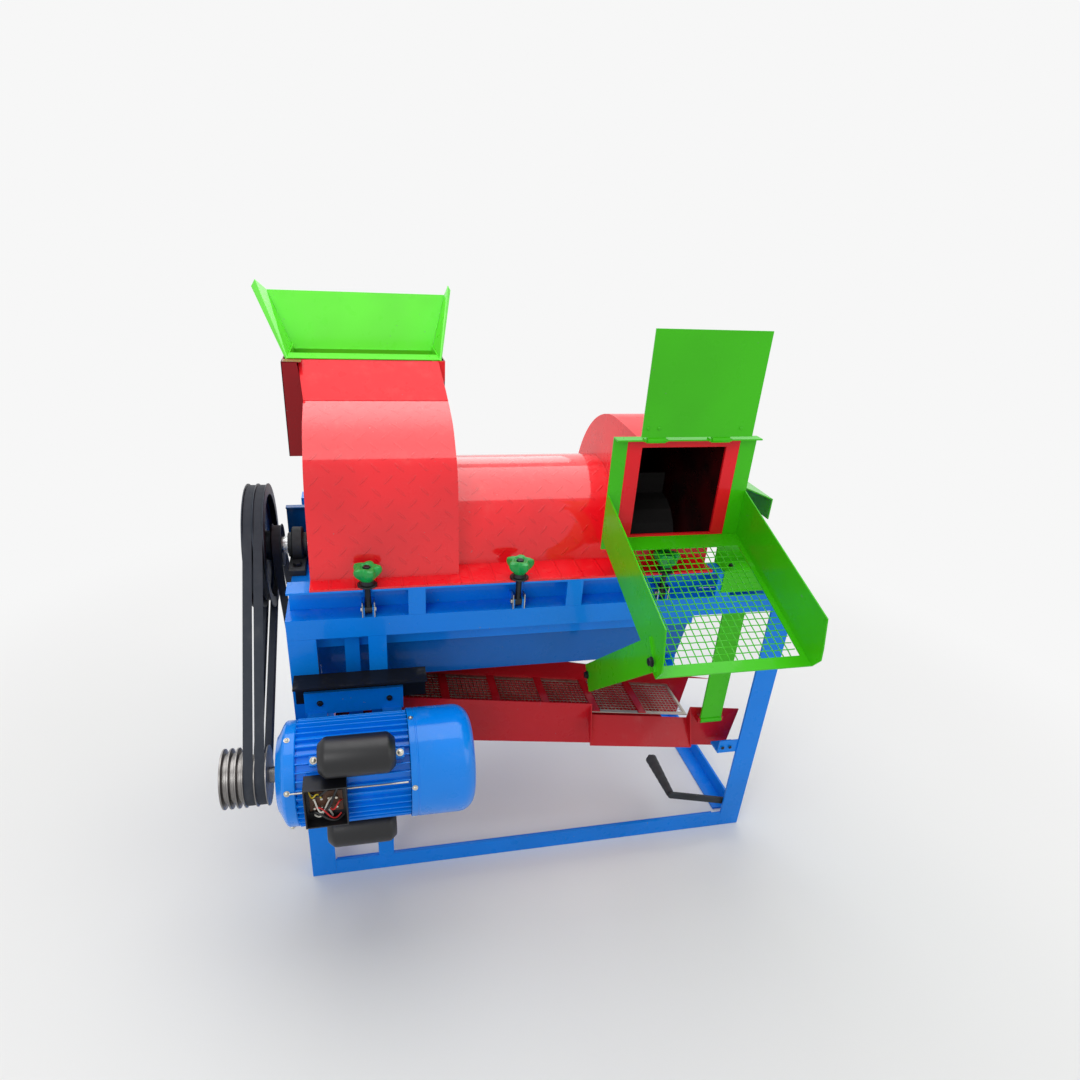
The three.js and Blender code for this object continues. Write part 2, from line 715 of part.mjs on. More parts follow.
function makeCover() {
  const seat = flangeZ + plate + gap;
  const top = seat + plate;
  const flange = (x0, x1, yFront, yBack) => [
    box(x0, x1, 0, yFront, seat, top),
    box(x0, x1, yBack, frameDepth, seat, top),
  ];
  const latchCuts = latchPlaces.map((x) => box(x - latchSlot, x + latchSlot,
    -overrun, latchY + latchSlot, seat - overrun, top + overrun));
  const barrels = (x0, x1) => knucklePlaces.filter((x) => x > x0 && x < x1).map((x) => [
    box(x - knuckleLength / 2, x + knuckleLength / 2, frameDepth - plate, hingeY, seat, top),
    rodX(x - knuckleLength / 2, x + knuckleLength / 2, hingeY, hingeZ, hingeBarrel, smallSides),
  ]).flat();
  const bores = knucklePlaces.map((x) => rodX(x - knuckleLength, x + knuckleLength,
    hingeY, hingeZ, hingeRod + boreClearance * 2, smallSides));

  const relief = knucklePlaces.flatMap((x) => [1, -1].map((side) => {
    const near = x + side * knuckleLength / 2;
    const far = near + side * (earThickness + 2 * gap);
    return box(Math.min(near, far), Math.max(near, far), frameDepth - lugRelief,
      frameDepth + overrun, seat - overrun, top + overrun);
  }));

  const depth = feedBack - feedFront;
  const place = (points) => points.map(([a, b]) => [feedFront + a * depth, seat + b * feedHeight]);
  const feedOuter = [[feedFront, seat], ...place(feedProfileShares), [feedBack, seat]].reverse();
  const middleY = shaftY;
  const feedInner = [
    [feedFront + coverWall, seat - overrun],
    ...place(feedProfileShares).map(([y, z]) => {
      const towards = new THREE.Vector2(middleY + depth / 4 - y, shaftZ - z).normalize();
      return [y + towards.x * coverWall, z + towards.y * coverWall];
    }),
    [feedBack - coverWall, seat - overrun],
  ].reverse();
  const crown = rodX(feedRight - coverWall - overrun, feedRight + overrun, shaftY, shaftZ,
    middleRadius - coverWall);
  const door = box(feedDoor[0], feedDoor[1], feedDoor[2], feedDoor[3],
    seat + feedHeight * (1 - doorDepthShare), seat + feedHeight + overrun);
  add('cover_feed_housing', cut(join(
    alongX(feedOuter, boxLeft, feedRight),
    ...flange(boxLeft, feedRight, feedFront + coverWall / 2, feedBack - coverWall / 2),
    ...barrels(boxLeft, feedRight)),
  alongX(feedInner, boxLeft + coverWall, feedRight - coverWall), crown, door,
  ...latchCuts, ...bores, ...relief), paint.red);

  const middleLeft = feedRight + gap;
  const footY = Math.sqrt(middleRadius ** 2 - (seat - shaftZ) ** 2) - coverWall / 2;
  const belowSeat = box(boxLeft - overrun, flangeRight, -overrun, frameDepth - overrun / 2,
    shaftZ - middleRadius - overrun, seat);
  add('cover_middle_shell', cut(join(
    rodX(middleLeft, middleRight, shaftY, shaftZ, middleRadius, roundSides * 2),
    ...flange(middleLeft, middleRight, shaftY - footY, shaftY + footY),
    ...barrels(middleLeft, middleRight)),
  rodX(middleLeft - overrun, middleRight + overrun, shaftY, shaftZ, middleRadius - coverWall,
    roundSides * 2),
  belowSeat, ...latchCuts, ...bores, ...relief), paint.red);

  const dischargeLeft = middleRight + gap;
  const scroll = (inset) => [
    [dischargeFront + inset, seat - (inset > 0 ? overrun : 0)],
    [dischargeFront + inset, dischargeBrow - inset],
    ...arc(dischargeArcY, dischargeArcZ, dischargeArcRadius - inset, Math.PI / 2, 0, dischargeSteps),
    [dischargeArcY + dischargeArcRadius - inset, seat - (inset > 0 ? overrun : 0)],
  ].reverse();
  const [o0, o1, o2, o3] = rimOpening;
  add('cover_discharge_housing', cut(join(
    alongX(scroll(0), dischargeLeft, boxRight),
    ...flange(dischargeLeft, boxRight, dischargeFront + coverWall / 2,
      dischargeArcY + dischargeArcRadius - coverWall / 2),
    box(rimLeft, rimRight, dischargeFront - coverWall, dischargeFront, rimLow, rimTop),
    ...barrels(dischargeLeft, boxRight)),
  alongX(scroll(coverWall), dischargeLeft + coverWall, boxRight - coverWall),
  rodX(dischargeLeft - overrun, dischargeLeft + coverWall + overrun, shaftY, shaftZ,
    middleRadius - coverWall),
  box(o0, o1, dischargeFront - coverWall - overrun, dischargeFront + coverWall + overrun, o2, o3),
  ...latchCuts, ...bores, ...relief), paint.red);

  const roof = seat + feedHeight + gap;
  add('feed_throat', join(
    box(throatLeft, throatLeft + sheet, throatFront, frameDepth, throatLow, throatTop),
    box(throatRight - sheet, throatRight, throatFront, frameDepth, throatLow, throatTop),
    box(throatLeft, throatRight, frameDepth - sheet, frameDepth, throatLow, throatTop),
    box(throatLeft, throatRight, throatFront, throatFront + sheet, roof, throatTop)), paint.red);

  const base = throatTop + gap;
  const left = throatLeft + hopperInset;
  const right = throatRight - hopperInset;
  const tipLeft = left - hopperTipFlare;
  const tipRight = right + hopperTipFlare;
  const backLeft = left - hopperFlare;
  const backRight = right + hopperFlare;
  const tipY = hopperRimY + sheet;
  const rimStart = throatFront + 3 * sheet;
  add('hopper', join(
    box(left, right, throatFront, throatFront + hopperLip, base, base + sheet),
    box(left, right, hopperFoot - sheet, frameDepth, base, base + sheet),
    panel([[left, hopperFoot, base], [right, hopperFoot, base],
      [backRight, hopperRimY, hopperBackTop], [backLeft, hopperRimY, hopperBackTop]], -sheet),
    panel([[left, throatFront, base], [left, hopperFoot + sheet, base],
      [tipLeft, tipY, hopperTipTop]], sheet),
    panel([[right, throatFront, base], [tipRight, tipY, hopperTipTop],
      [right, hopperFoot + sheet, base]], sheet),
    panel([[left, rimStart, base], [tipLeft, tipY, hopperTipTop],
      [tipLeft - hopperFold, tipY, hopperTipTop - hopperFold]], -sheet),
    panel([[right, rimStart, base],
      [tipRight + hopperFold, tipY, hopperTipTop - hopperFold],
      [tipRight, tipY, hopperTipTop]], -sheet)), paint.hopperGreen, 0.3);

  const guardFoot = boxRight + gap;
  add('shaft_guard', alongY(strip([[guardFoot, guardHigh - guardLip], [guardFoot, guardHigh],
    [guardRight, guardEdge], [guardRight, guardEdge - guardLip]], -sheet).reverse(),
  guardFront, guardFront + guardWidth), paint.green);
}

// Discharge frame, flap and chute

function makeOutlet() {
  const face = dischargeFront - coverWall;
  const pinY = face + coverWall - outletFlange - flapPinAhead;
  const pinZ = outletTop + flapPin + gap;
  const pinLug = (x) => box(x - plate / 2, x + plate / 2, pinY - flapPin,
    face + coverWall - outletFlange + plate, outletTop, pinZ + flapPin);
  const lugPlaces = flapKnuckles.flatMap((x) => [-1, 1].map((side) => x
    + side * (flapKnuckleLength / 2 + gap + plate / 2)));
  add('outlet_frame', join(
    cut(box(outletLeft, outletRight, face, face + coverWall, outletLow, outletTop),
      box(rimLeft - gap, rimRight + gap, face - overrun, face + coverWall + overrun,
        rimLow - gap, rimTop + gap)),
    box(outletLeft, outletRight, face + coverWall - outletFlange, face + coverWall,
      outletTop - sheet / 2, outletTop + sheet / 2),
    ...lugPlaces.map(pinLug),
    ...flapKnuckles.map((x) => rodX(x - flapKnuckleLength / 2 - plate, x
      + flapKnuckleLength / 2 + plate, pinY, pinZ, flapPin, smallSides))), paint.green);
  const flapLow = pinZ + flapBarrel;
  add('outlet_flap', cut(join(
    box(flapLeft, flapLeft + flapWidth, pinY - sheet / 2, pinY + sheet / 2,
      flapLow, flapLow + flapHeight),
    ...flapKnuckles.map((x) => box(x - flapKnuckleLength / 2, x + flapKnuckleLength / 2,
      pinY - sheet / 2, pinY + sheet / 2, pinZ, flapLow + flapBarrel)),
    ...flapKnuckles.map((x) => rodX(x - flapKnuckleLength / 2, x + flapKnuckleLength / 2,
      pinY, pinZ, flapBarrel, smallSides))),
  ...flapKnuckles.map((x) => rodX(x - flapKnuckleLength, x + flapKnuckleLength,
    pinY, pinZ, flapPin + boreClearance * 2, smallSides))), paint.green);

  const slope = Math.atan2(chuteDrop, chuteReach);
  const run = Math.hypot(chuteDrop, chuteReach);
  const along = (s, n) => [
    chuteBack - s * Math.cos(slope) - n * Math.sin(slope),
    chuteBackZ - s * Math.sin(slope) + n * Math.cos(slope),
  ];
  const side = [
    along(0, 0), along(run, 0), along(run + chuteNose / 3, chuteNose),
    along(run, chuteSide / 2), along(run - chuteNose, chuteSide),
    [chuteBack, chuteBackZ + chuteSide],
  ].reverse();
  const left = outletLeft;
  const right = outletRight - sheet;
  const floorStrip = (s0, s1, x0, x1) => alongX(
    [along(s0, 0), along(s1, 0), along(s1, sheet), along(s0, sheet)].reverse(), x0, x1);
  const braceTop = along(run - braceFrontInset, chuteNose);
  const braceDirection = new THREE.Vector2(braceTop[0] - braceLow[0], braceTop[1] - braceLow[1]);
  const across = new THREE.Vector2(-braceDirection.y, braceDirection.x)
    .normalize().multiplyScalar(braceWidth / 2);
  const brace = [
    [braceTop[0] + across.x, braceTop[1] + across.y],
    [braceTop[0] - across.x, braceTop[1] - across.y],
    [braceLow[0] - across.x, braceLow[1] - across.y],
    [braceLow[0] + across.x, braceLow[1] + across.y],
  ].reverse();
  add('outlet_chute', join(
    alongX(side, left, left + sheet),
    alongX(side, right, right + sheet),
    floorStrip(0, chuteStrip, left, right + sheet),
    floorStrip(run - chuteLip, run, left, right + sheet),
    floorStrip(0, run, left, left + chuteBand),
    floorStrip(0, run, right + sheet - chuteBand, right + sheet),
    alongX(brace, left - plate + gap, left + gap)), paint.green);

  const s0 = chuteStrip + gap;
  const s1 = run - chuteLip - gap;
  const w0 = left + chuteBand + gap;
  const w1 = right + sheet - chuteBand - gap;
  const mesh = lattice(w0, w1, s0, s1, wire, wire, wireColumns, wireRows)
    .rotateX(Math.PI).translate(0, 0, wire).rotateX(slope)
    .translate(0, chuteBack, chuteBackZ);
  add('chute_mesh', mesh, paint.green);
}

// Drum, bearings, pulleys and belts

// The rim of a pulley: (x, r) points over equal grooves between equal lands
function grooves(x0, count, width, land, radius, depth) {
  const points = [];
  for (let i = 0; i < count; i += 1) {
    const x = x0 + i * (width + land);
    points.push([x, radius], [x + land, radius], [x + land, radius - depth],
      [x + land + width, radius - depth]);
  }
  const end = x0 + count * (width + land);
  points.push([end, radius], [end + land, radius]);
  return points;
}

function makeDrum() {
  const shaftRight = frameLength - gap * 2;
  add('drum_shaft', rodX(shaftLeft, shaftRight, shaftY, shaftZ, shaftRadius),
    paint.steel, 0.3, 1);
  const bore = shaftRadius + boreClearance;
  const shell = turned([
    [drumLeft, bore], [drumLeft, drumRadius], [drumRight, drumRadius], [drumRight, bore],
    [drumRight - drumWall, bore], [drumRight - drumWall, drumRadius - drumWall],
    [drumLeft + drumWall, drumRadius - drumWall], [drumLeft + drumWall, bore], [drumLeft, bore],
  ], shaftY, shaftZ);
  const pegs = [];
  const pegsPerRow = Math.floor((drumRight - paddleLength - drumLeft - 2 * pegInset) / pegPitch) + 1;
  for (let row = 0; row < pegRows; row += 1) {
    const turn = (row + 0.5) * 2 * Math.PI / pegRows;
    for (let i = 0; i < pegsPerRow; i += 1) {
      const x = drumLeft + pegInset + i * pegPitch + (row % 2) * pegPitch / 2;
      const peg = new THREE.CylinderGeometry(pegRadius, pegRadius, pegReach + pegRoot, 5);
      peg.translate(0, drumRadius - pegRoot + (pegReach + pegRoot) / 2, 0).rotateX(turn);
      pegs.push(peg.translate(x, shaftY, shaftZ));
    }
  }
  for (let i = 0; i < paddleCount; i += 1) {
    const paddle = box(drumRight - paddleLength, drumRight, -paddleThickness / 2,
      paddleThickness / 2, drumRadius - pegRoot, drumRadius + pegReach);
    pegs.push(paddle.rotateX(i * 2 * Math.PI / paddleCount).translate(0, shaftY, shaftZ));
  }
  add('threshing_drum', join(shell, ...pegs), paint.iron, 0.55, 0.7);

  const seatZ = railTop + gap;
  [['bearing_left', 1], ['bearing_right', -1]].forEach(([name, side]) => {
    const mid = side > 0 ? railWidth / 2 - bearingWidth / 4 : frameLength - railWidth / 2;
    const x0 = mid - bearingWidth / 2;
    const x1 = mid + bearingWidth / 2;
    const nose = overrun * 2;
    add(name, cut(join(
      box(x0, x1, shaftY - bearingFoot / 2, shaftY + bearingFoot / 2, seatZ,
        seatZ + bearingFootHeight),
      cut(rodX(x0 + nose, x1 - nose, shaftY, shaftZ, bearingRadius + overrun),
        box(x0, x1, shaftY - bearingFoot, shaftY + bearingFoot, 0, seatZ)),
      rodX(x0, x1, shaftY, shaftZ, bearingRadius - nose)),
    rodX(x0 - overrun, x1 + overrun, shaftY, shaftZ, bore)), paint.iron, 0.55, 0.5);
  });

  const rimEnd = beltPlane + 2 * (grooveWidth + landWidth) + landWidth;
  const stepLeft = rimEnd;
  const web = beltPlane + (rimEnd - beltPlane - webThickness) / 2;
  const rimInner = drumPulleyRadius - grooveDepth - webThickness / 2;
  const groove = (stepWidth - grooveWidth * stepShare) / 2;
  add('drum_pulley', turned([
    [shaftLeft + gap, bore], [shaftLeft + gap, hubRadius], [web, hubRadius], [web, rimInner],
    [beltPlane, rimInner],
    ...grooves(beltPlane, 2, grooveWidth, landWidth, drumPulleyRadius, grooveDepth),
    [rimEnd, rimInner], [web + webThickness, rimInner], [web + webThickness, hubRadius],
    [stepLeft, hubRadius], [stepLeft, stepRadius],
    ...grooves(stepLeft, 1, grooveWidth, groove, stepRadius, grooveDepth).slice(1, -1),
    [stepLeft + grooveWidth + 2 * groove, stepRadius],
    [stepLeft + grooveWidth + 2 * groove, bore], [shaftLeft + gap, bore],
  ], shaftY, shaftZ, roundSides * 1.5), paint.iron, 0.5, 0.7);
  return { rimEnd, stepLeft, groove };
}

// A belt around two pulleys: outer loop less inner loop, drawn out along X
function belt(x0, a, ra, b, rb, sides = roundSides) {
  const direction = Math.atan2(b[1] - a[1], b[0] - a[0]);
  const distance = Math.hypot(b[0] - a[0], b[1] - a[1]);
  const lean = Math.acos((ra - rb) / distance);
  const loop = (extra) => {
    const step = Math.PI / sides;
    const ring = (radius) => (radius + extra) / Math.cos(step / 2);
    return [
      ...arc(a[0], a[1], ring(ra), direction + lean, direction + 2 * Math.PI - lean, sides),
      ...arc(b[0], b[1], ring(rb), direction - lean, direction + lean, sides),
    ];
  };
  return cut(alongX(loop(gap + beltThickness), x0, x0 + beltWidth),
    alongX(loop(gap), x0 - overrun, x0 + beltWidth + overrun));
}

function makeDrive({ stepLeft, groove }) {
  const drumAt = [shaftY, shaftZ];
  const motorAt = [motorY, motorZ];
  const shakerAt = [shakerY, shakerZ];
  const centre = (grooveWidth - beltWidth) / 2;
  ['drive_belt_outer', 'drive_belt_inner'].forEach((name, i) => {
    const x0 = beltPlane + landWidth + i * (grooveWidth + landWidth) + centre;
    add(name, belt(x0, drumAt, drumPulleyRadius - grooveDepth, motorAt,
      motorPulleyRadius - grooveDepth), paint.black, 0.8);
  });
  add('shaker_belt', belt(stepLeft + groove + centre, drumAt, stepRadius - grooveDepth,
    shakerAt, shakerPulleyRadius - grooveDepth), paint.black, 0.8);

  const freeLeft = beltPlane - freeGrooves * (freeGrooveWidth + freeLand);
  const wrappedEnd = beltPlane + 2 * (grooveWidth + landWidth) + landWidth;
  add('motor_pulley', turned([
    [freeLeft, 0],
    ...grooves(freeLeft, freeGrooves, freeGrooveWidth, freeLand, motorPulleyRadius,
      freeGrooveWidth).slice(0, -2),
    ...grooves(beltPlane, 2, grooveWidth, landWidth, motorPulleyRadius, grooveDepth),
    [wrappedEnd, motorShaft], [motorLeft + finLeft, motorShaft], [motorLeft + finLeft, 0],
  ], motorY, motorZ, roundSides), paint.steel, 0.3, 1);

  const pulleyEnd = stepLeft + grooveWidth + 2 * groove;
  const shaftEnd = eccentricX + eccentricWidth + overrun;
  const disc = rodX(eccentricX, eccentricX + eccentricWidth, 0, trayStroke, eccentricRadius);
  const hub = shakerShaft * 2;
  add('shaker_shaft', join(
    turned([
      [stepLeft, 0], ...grooves(stepLeft, 1, grooveWidth, groove, shakerPulleyRadius,
        grooveDepth),
      [pulleyEnd, hub], [pulleyEnd + webThickness, hub], [pulleyEnd + webThickness, shakerShaft],
      [shaftEnd, shakerShaft], [shaftEnd, 0],
    ], 0, 0).translate(0, shakerY, shakerZ),
    disc.translate(0, shakerY, shakerZ)), paint.iron, 0.45, 0.8);
  const sleeveLeft = railWall;
  const sleeveRight = sleeveLeft + railWidth * 1.5;
  const seatZ = crossRailTop + gap;
  add('shaker_bearing', cut(join(
    box(sleeveLeft, sleeveRight, shakerY - sleeveRadius, shakerY + sleeveRadius, seatZ,
      shakerZ),
    rodX(sleeveLeft, sleeveRight, shakerY, shakerZ, sleeveRadius, smallSides)),
  rodX(sleeveLeft - overrun, sleeveRight + overrun, shakerY, shakerZ,
    shakerShaft + boreClearance)), paint.iron, 0.55, 0.5);
}

// Motor on two rails in front of the post

function makeMotor() {
  const core = turned([
    [motorLeft, 0], [motorLeft, motorCore * shieldShare],
    [motorLeft + shieldLength / 3, motorCore + finHeight / 2],
    [finLeft, motorCore + finHeight / 2], [finLeft, motorCore],
    [finRight, motorCore], [finRight, 0],
  ], motorY, motorZ);
  const fins = Array.from({ length: finCount }, (_, i) => {
    const fin = box(finLeft, finRight, -finThickness / 2, finThickness / 2,
      motorCore - finThickness, motorCore + finHeight);
    return fin.rotateX((i + 0.5) * 2 * Math.PI / finCount).translate(0, motorY, motorZ);
  });
  const footBack = -plate - 2 * gap;
  const feet = [1, -1].flatMap((side) => {
    const span = [motorZ + side * motorFootLow, motorZ + side * motorFootHigh].sort((a, b) => a - b);
    const web = [motorZ + side * motorFootLow * motorFootShare, motorZ + side * (motorFootLow + plate)]
      .sort((a, b) => a - b);
    return [
      box(motorFootLeft, motorFootRight, footBack - motorFootThickness, footBack,
        span[0], span[1]),
      box(motorFootLeft, motorFootRight, motorY + motorCore / 4, footBack, web[0], web[1]),
    ];
  });
  const boxZ = motorZ - terminalDown;
  const boxY = motorY - motorCore - finHeight;
  const bush = rodX(motorLeft - overrun, motorLeft + finLeft + overrun, motorY, motorZ,
    motorShaft + boreClearance);
  add('motor_body', cut(join(core, ...fins, ...feet,
    box(terminalLeft, terminalLeft + terminalLength, boxY - terminalDepth / 3,
      motorY - motorCore / 2, boxZ, boxZ + terminalHeight)),
  box(terminalLeft + sheet, terminalLeft + terminalLength - sheet,
    boxY - terminalDepth, boxY + terminalDepth / 2, boxZ + sheet,
    boxZ + terminalHeight - sheet), bush), paint.motorBlue, 0.35);
  const coverLeft = finRight + gap;
  const bend = fanCoverRight - fanCoverRadius + fanCoverNose;
  const dome = (inset) => [
    [coverLeft - (inset > 0 ? overrun : 0), fanCoverRadius - inset],
    ...arc(bend, fanCoverNose, fanCoverRadius - fanCoverNose - inset, Math.PI / 2, 0, 5),
  ];
  add('motor_fan_cover', turned([
    [coverLeft, fanCoverRadius - fanCoverWall], ...dome(0), [fanCoverRight, 0],
    [fanCoverRight - fanCoverWall, 0], ...dome(fanCoverWall).slice(1).reverse(),
    [coverLeft, fanCoverRadius - fanCoverWall],
  ], motorY, motorZ), paint.motorBlue, 0.3);
  [['capacitor_upper', capAngle], ['capacitor_lower', capLowAngle]].forEach(([name, angle]) => {
    const reach = motorCore + finHeight + capRadius + gap;
    const y = motorY - reach * Math.cos(angle);
    const z = motorZ + reach * Math.sin(angle);
    const shoulder = capRadius * capShoulderShare;
    add(name, turned([
      [capLeft, 0], [capLeft, shoulder], [capLeft + capRadius / 3, capRadius],
      [capLeft + capLength - capRadius / 3, capRadius], [capLeft + capLength, shoulder],
      [capLeft + capLength, 0],
    ], y, z), paint.black, 0.45);
  });
  [['motor_rail_upper', 1], ['motor_rail_lower', -1]].forEach(([name, side]) => {
    const outer = motorZ + side * motorRailHigh;
    const inner = outer - side * motorRailHeight;
    const fold = outer - side * plate;
    const points = [
      [-gap, inner], [-gap, outer], [-motorRailDepth, outer], [-motorRailDepth, fold],
      [-gap - plate, fold], [-gap - plate, inner],
    ];
    add(name, alongX(side > 0 ? points : points.reverse(), railWall, railWall + motorRailLength),
      paint.black, 0.5);
  });
}

// Two lugs with a pin between them, along X, for a link of some width at (y, z).
// The lugs reach from y0 to y1, and up to top where it is given.
function pinLugs(x, width, y, z, y0, y1, top = z + hangerPin * 1.5) {
  const lugs = [1, -1].map((side) => {
    const ends = [x + side * (width / 2 + gap), x + side * (width / 2 + gap + hangerLug)];
    return box(Math.min(...ends), Math.max(...ends), y0, y1, z - hangerPin * 1.5, top);
  });
  return [...lugs, rodX(x - width / 2 - hangerLug / 2, x + width / 2 + hangerLug / 2, y, z,
    hangerPin, smallSides)];
}

// Height of a point of the tray at X, w above its floor
function trayLevel(x, w) {
  const u = (x - trayX - w * Math.sin(trayAngle)) / Math.cos(trayAngle);
  return trayZ - u * Math.sin(trayAngle) + w * Math.cos(trayAngle);
}

// Shaking tray

function makeTray() {
  const tilt = (geometry) => geometry.rotateY(trayAngle).translate(trayX, 0, trayZ);
  const wall = (u0, u1, v0, w0, w1) => box(u0, u1, v0, v0 + sheet, w0, w1);
  const lip = [
    [trayFront + sheet / 2, screenLevel - 2 * sheet], [trayFront - lipReach, screenLevel - lipDrop],
    [trayFront - lipReach, screenLevel - lipDrop - sheet],
    [trayFront + sheet / 2, screenLevel - 4 * sheet],
  ];
  const cheek = [
    [trayFront + sheet, trayHeight], [trayFront + sheet / 2, screenLevel - 4 * sheet],
    [trayFront - lipReach, screenLevel - lipDrop - sheet],
    [trayFront - lipReach, screenLevel - lipDrop + sheet],
  ];
  const rodSeat = eccentricX - trayX;
  const frontLugs = frontHangers.flatMap(([, x, width, , w]) => pinLugs(
    x, width, frontHangerY, trayLevel(x, w), frontHangerY - hangerPin, trayFront + sheet / 2));
  const backLugs = backHangers.flatMap(([, x, width, , w]) => pinLugs(
    x, width, backHangerY, trayLevel(x, w), trayBack - sheet / 2, backHangerY + hangerPin));
  add('sieve_tray', join(tilt(join(
    box(trayLeft, trayRight, trayFront, trayBack, 0, sheet),
    wall(trayLeft, trayLipLeft, trayFront, 0, trayHeight),
    wall(trayLipLeft - sheet, trayRight, trayFront, 0, screenLevel - 3 * sheet),
    wall(trayRight - sheet, trayEnd, trayFront, 0, trayHeight),
    wall(trayLeft, trayRight + legWidth, trayBack - sheet, 0, trayHeight),
    box(trayLeft, trayLeft + sheet, trayFront, trayBack, 0, trayHeight),
    alongX(lip.reverse(), trayLipLeft, trayRight),
    alongX(cheek, trayLipLeft - sheet, trayLipLeft),
    alongX(cheek, trayRight - sheet, trayRight),
    box(rodSeat - overrun, rodSeat + eccentricWidth + overrun, trayBack - sheet,
      trayBack + plate, 0, trayHeight / 2))), ...frontLugs, ...backLugs), paint.darkRed);

  const u0 = trayLeft + sheet + gap;
  const u1 = trayRight - sheet - gap;
  const v0 = trayFront + sheet + gap;
  const v1 = trayBack - sheet - gap;
  add('sieve_screen', tilt(lattice(u0, u1, v0, v1, screenThickness, screenWeb,
    holeColumns, holeRows).translate(0, 0, screenLevel)), paint.steel, 0.5, 0.8);

  const hang = (rows, y, hexes) => rows.forEach(([name, x, width, high, w], i) => {
    const low = trayLevel(x, w);
    const eyes = [high, low].map((z) => rodX(x - width / 2, x + width / 2, y, z, hangerBarrel,
      smallSides));
    const bores = [high, low].map((z) => rodX(x - width, x + width, y, z,
      hangerPin + 3 * boreClearance, smallSides));
    add(name, cut(join(box(x - width / 2, x + width / 2, y - hangerThickness / 2,
      y + hangerThickness / 2, low, high), ...eyes), ...bores), hexes[i]);
  });
  hang(frontHangers, frontHangerY, [paint.blue, paint.green]);
  hang(backHangers, backHangerY, [paint.blue, paint.blue]);

  const ringInner = eccentricRadius + 2 * trayStroke + rodRoom;
  const ringOuter = ringInner + ringWall;
  const rodZ = trayZ - (eccentricX - trayX) * Math.tan(trayAngle) + trayHeight / 4;
  const rodStart = trayBack + plate + gap;
  const ringX0 = eccentricX + (eccentricWidth - rodThickness) / 2;
  const ringX1 = ringX0 + rodThickness;
  const rod = [
    [rodStart, rodZ - rodWidth / 2], [shakerY, shakerZ - rodWidth / 2],
    [shakerY, shakerZ + rodWidth / 2], [rodStart, rodZ + rodWidth / 2],
  ];
  add('connecting_rod', join(
    cut(alongX(rod, ringX0, ringX1),
      rodX(ringX0 - overrun, ringX1 + overrun, shakerY, shakerZ, ringInner)),
    ringX(ringX0, ringX1, shakerY, shakerZ, ringInner, ringOuter),
    box(eccentricX, eccentricX + eccentricWidth, rodStart, rodStart + plate,
      rodZ - rodWidth / 2, rodZ + rodWidth / 2)), paint.iron, 0.5, 0.6);
}

// Latches with star knobs

function makeLatches() {
  const seat = flangeZ + 2 * plate + gap + latchLift;
  latchPlaces.forEach((x, i) => {
    add(`swing_bolt_${i + 1}`, join(
      rodX(x - latchEyeWidth / 2, x + latchEyeWidth / 2, latchY, latchPivotZ, latchEye - gap,
        smallSides),
      new THREE.CylinderGeometry(latchShank, latchShank, latchTop - latchPivotZ, smallSides)
        .rotateX(Math.PI / 2).translate(x, latchY, (latchTop + latchPivotZ) / 2)),
    paint.zinc, 0.35, 1);
    const star = Array.from({ length: knobLobes * 4 }, (_, k) => {
      const angle = k * 2 * Math.PI / (knobLobes * 4);
      const radius = knobRadius * (1 - knobWaveShare + knobWaveShare * Math.cos(knobLobes * angle));
      return [x + radius * Math.cos(angle), latchY + radius * Math.sin(angle)];
    });
    const boss = new THREE.CylinderGeometry(knobBoss, knobBoss, knobLow - seat + overrun,
      smallSides).rotateX(Math.PI / 2).translate(x, latchY, (seat + knobLow + overrun) / 2);
    const bore = new THREE.CylinderGeometry(latchShank + boreClearance * 2,
      latchShank + boreClearance * 2, knobHeight * 4, smallSides)
      .rotateX(Math.PI / 2).translate(x, latchY, knobLow);
    add(`latch_knob_${i + 1}`, cut(join(
      slab(star, knobHeight).translate(0, 0, knobLow), boss), bore), paint.knobGreen, 0.4);
  });
}

// Adjusting lever at the right front leg

function makeLever() {
  const [px, pz] = leverPivot;
  const [tx, tz] = leverTip;
  const length = Math.hypot(tx - px, tz - pz);
  const nx = -(tz - pz) / length * leverWidth / 2;
  const nz = (tx - px) / length * leverWidth / 2;
  const bar = [[px + nx, pz + nz], [tx + nx, tz + nz], [tx - nx, tz - nz], [px - nx, pz - nz]];
  const round = (x, z, y0, y1, r0, r1) => new THREE.CylinderGeometry(r1, r0, y1 - y0, smallSides)
    .translate(x, (y0 + y1) / 2, z);
  const atY = (x, z, y0, y1, r0, r1) => round(x, 0, y0, y1, r0, r1).translate(0, 0, z);
  const y1 = leverPlane + leverThickness;
  add('adjusting_lever', join(
    alongY(bar, leverPlane, y1),
    atY(px, pz, leverPlane, y1, leverWidth * leverEyeShare, leverWidth * leverEyeShare),
    atY(px, pz, railWall + gap, leverPlane + gap, leverPin * 2, leverPin * 2),
    atY(tx, tz, leverPlane, y1, leverWidth / 2, leverWidth / 2),
    atY(tx, tz, y1 - gap, y1 + gripLength, leverPin, leverPin)), paint.iron, 0.5, 0.6);
  add('lever_grip', cut(
    atY(tx, tz, y1 + gap, y1 + gripLength - overrun, gripRoot, gripEnd),
    atY(tx, tz, y1 - overrun, y1 + gripLength + overrun, leverPin + boreClearance * 2,
      leverPin + boreClearance * 2)), paint.black, 0.6);
}

makeFrame();
makeConcave();
makeCover();
makeOutlet();
makeDrive(makeDrum());
makeMotor();
makeTray();
makeLatches();
makeLever();

// The origin is at the middle of the machine's footprint, on the ground
machine.updateMatrixWorld(true);
const bounds = new THREE.Box3().setFromObject(machine, true);
const middle = bounds.getCenter(new THREE.Vector3());
machine.position.set(-middle.x, -middle.y, -bounds.min.z);
machine.updateMatrixWorld(true);

export default machine;
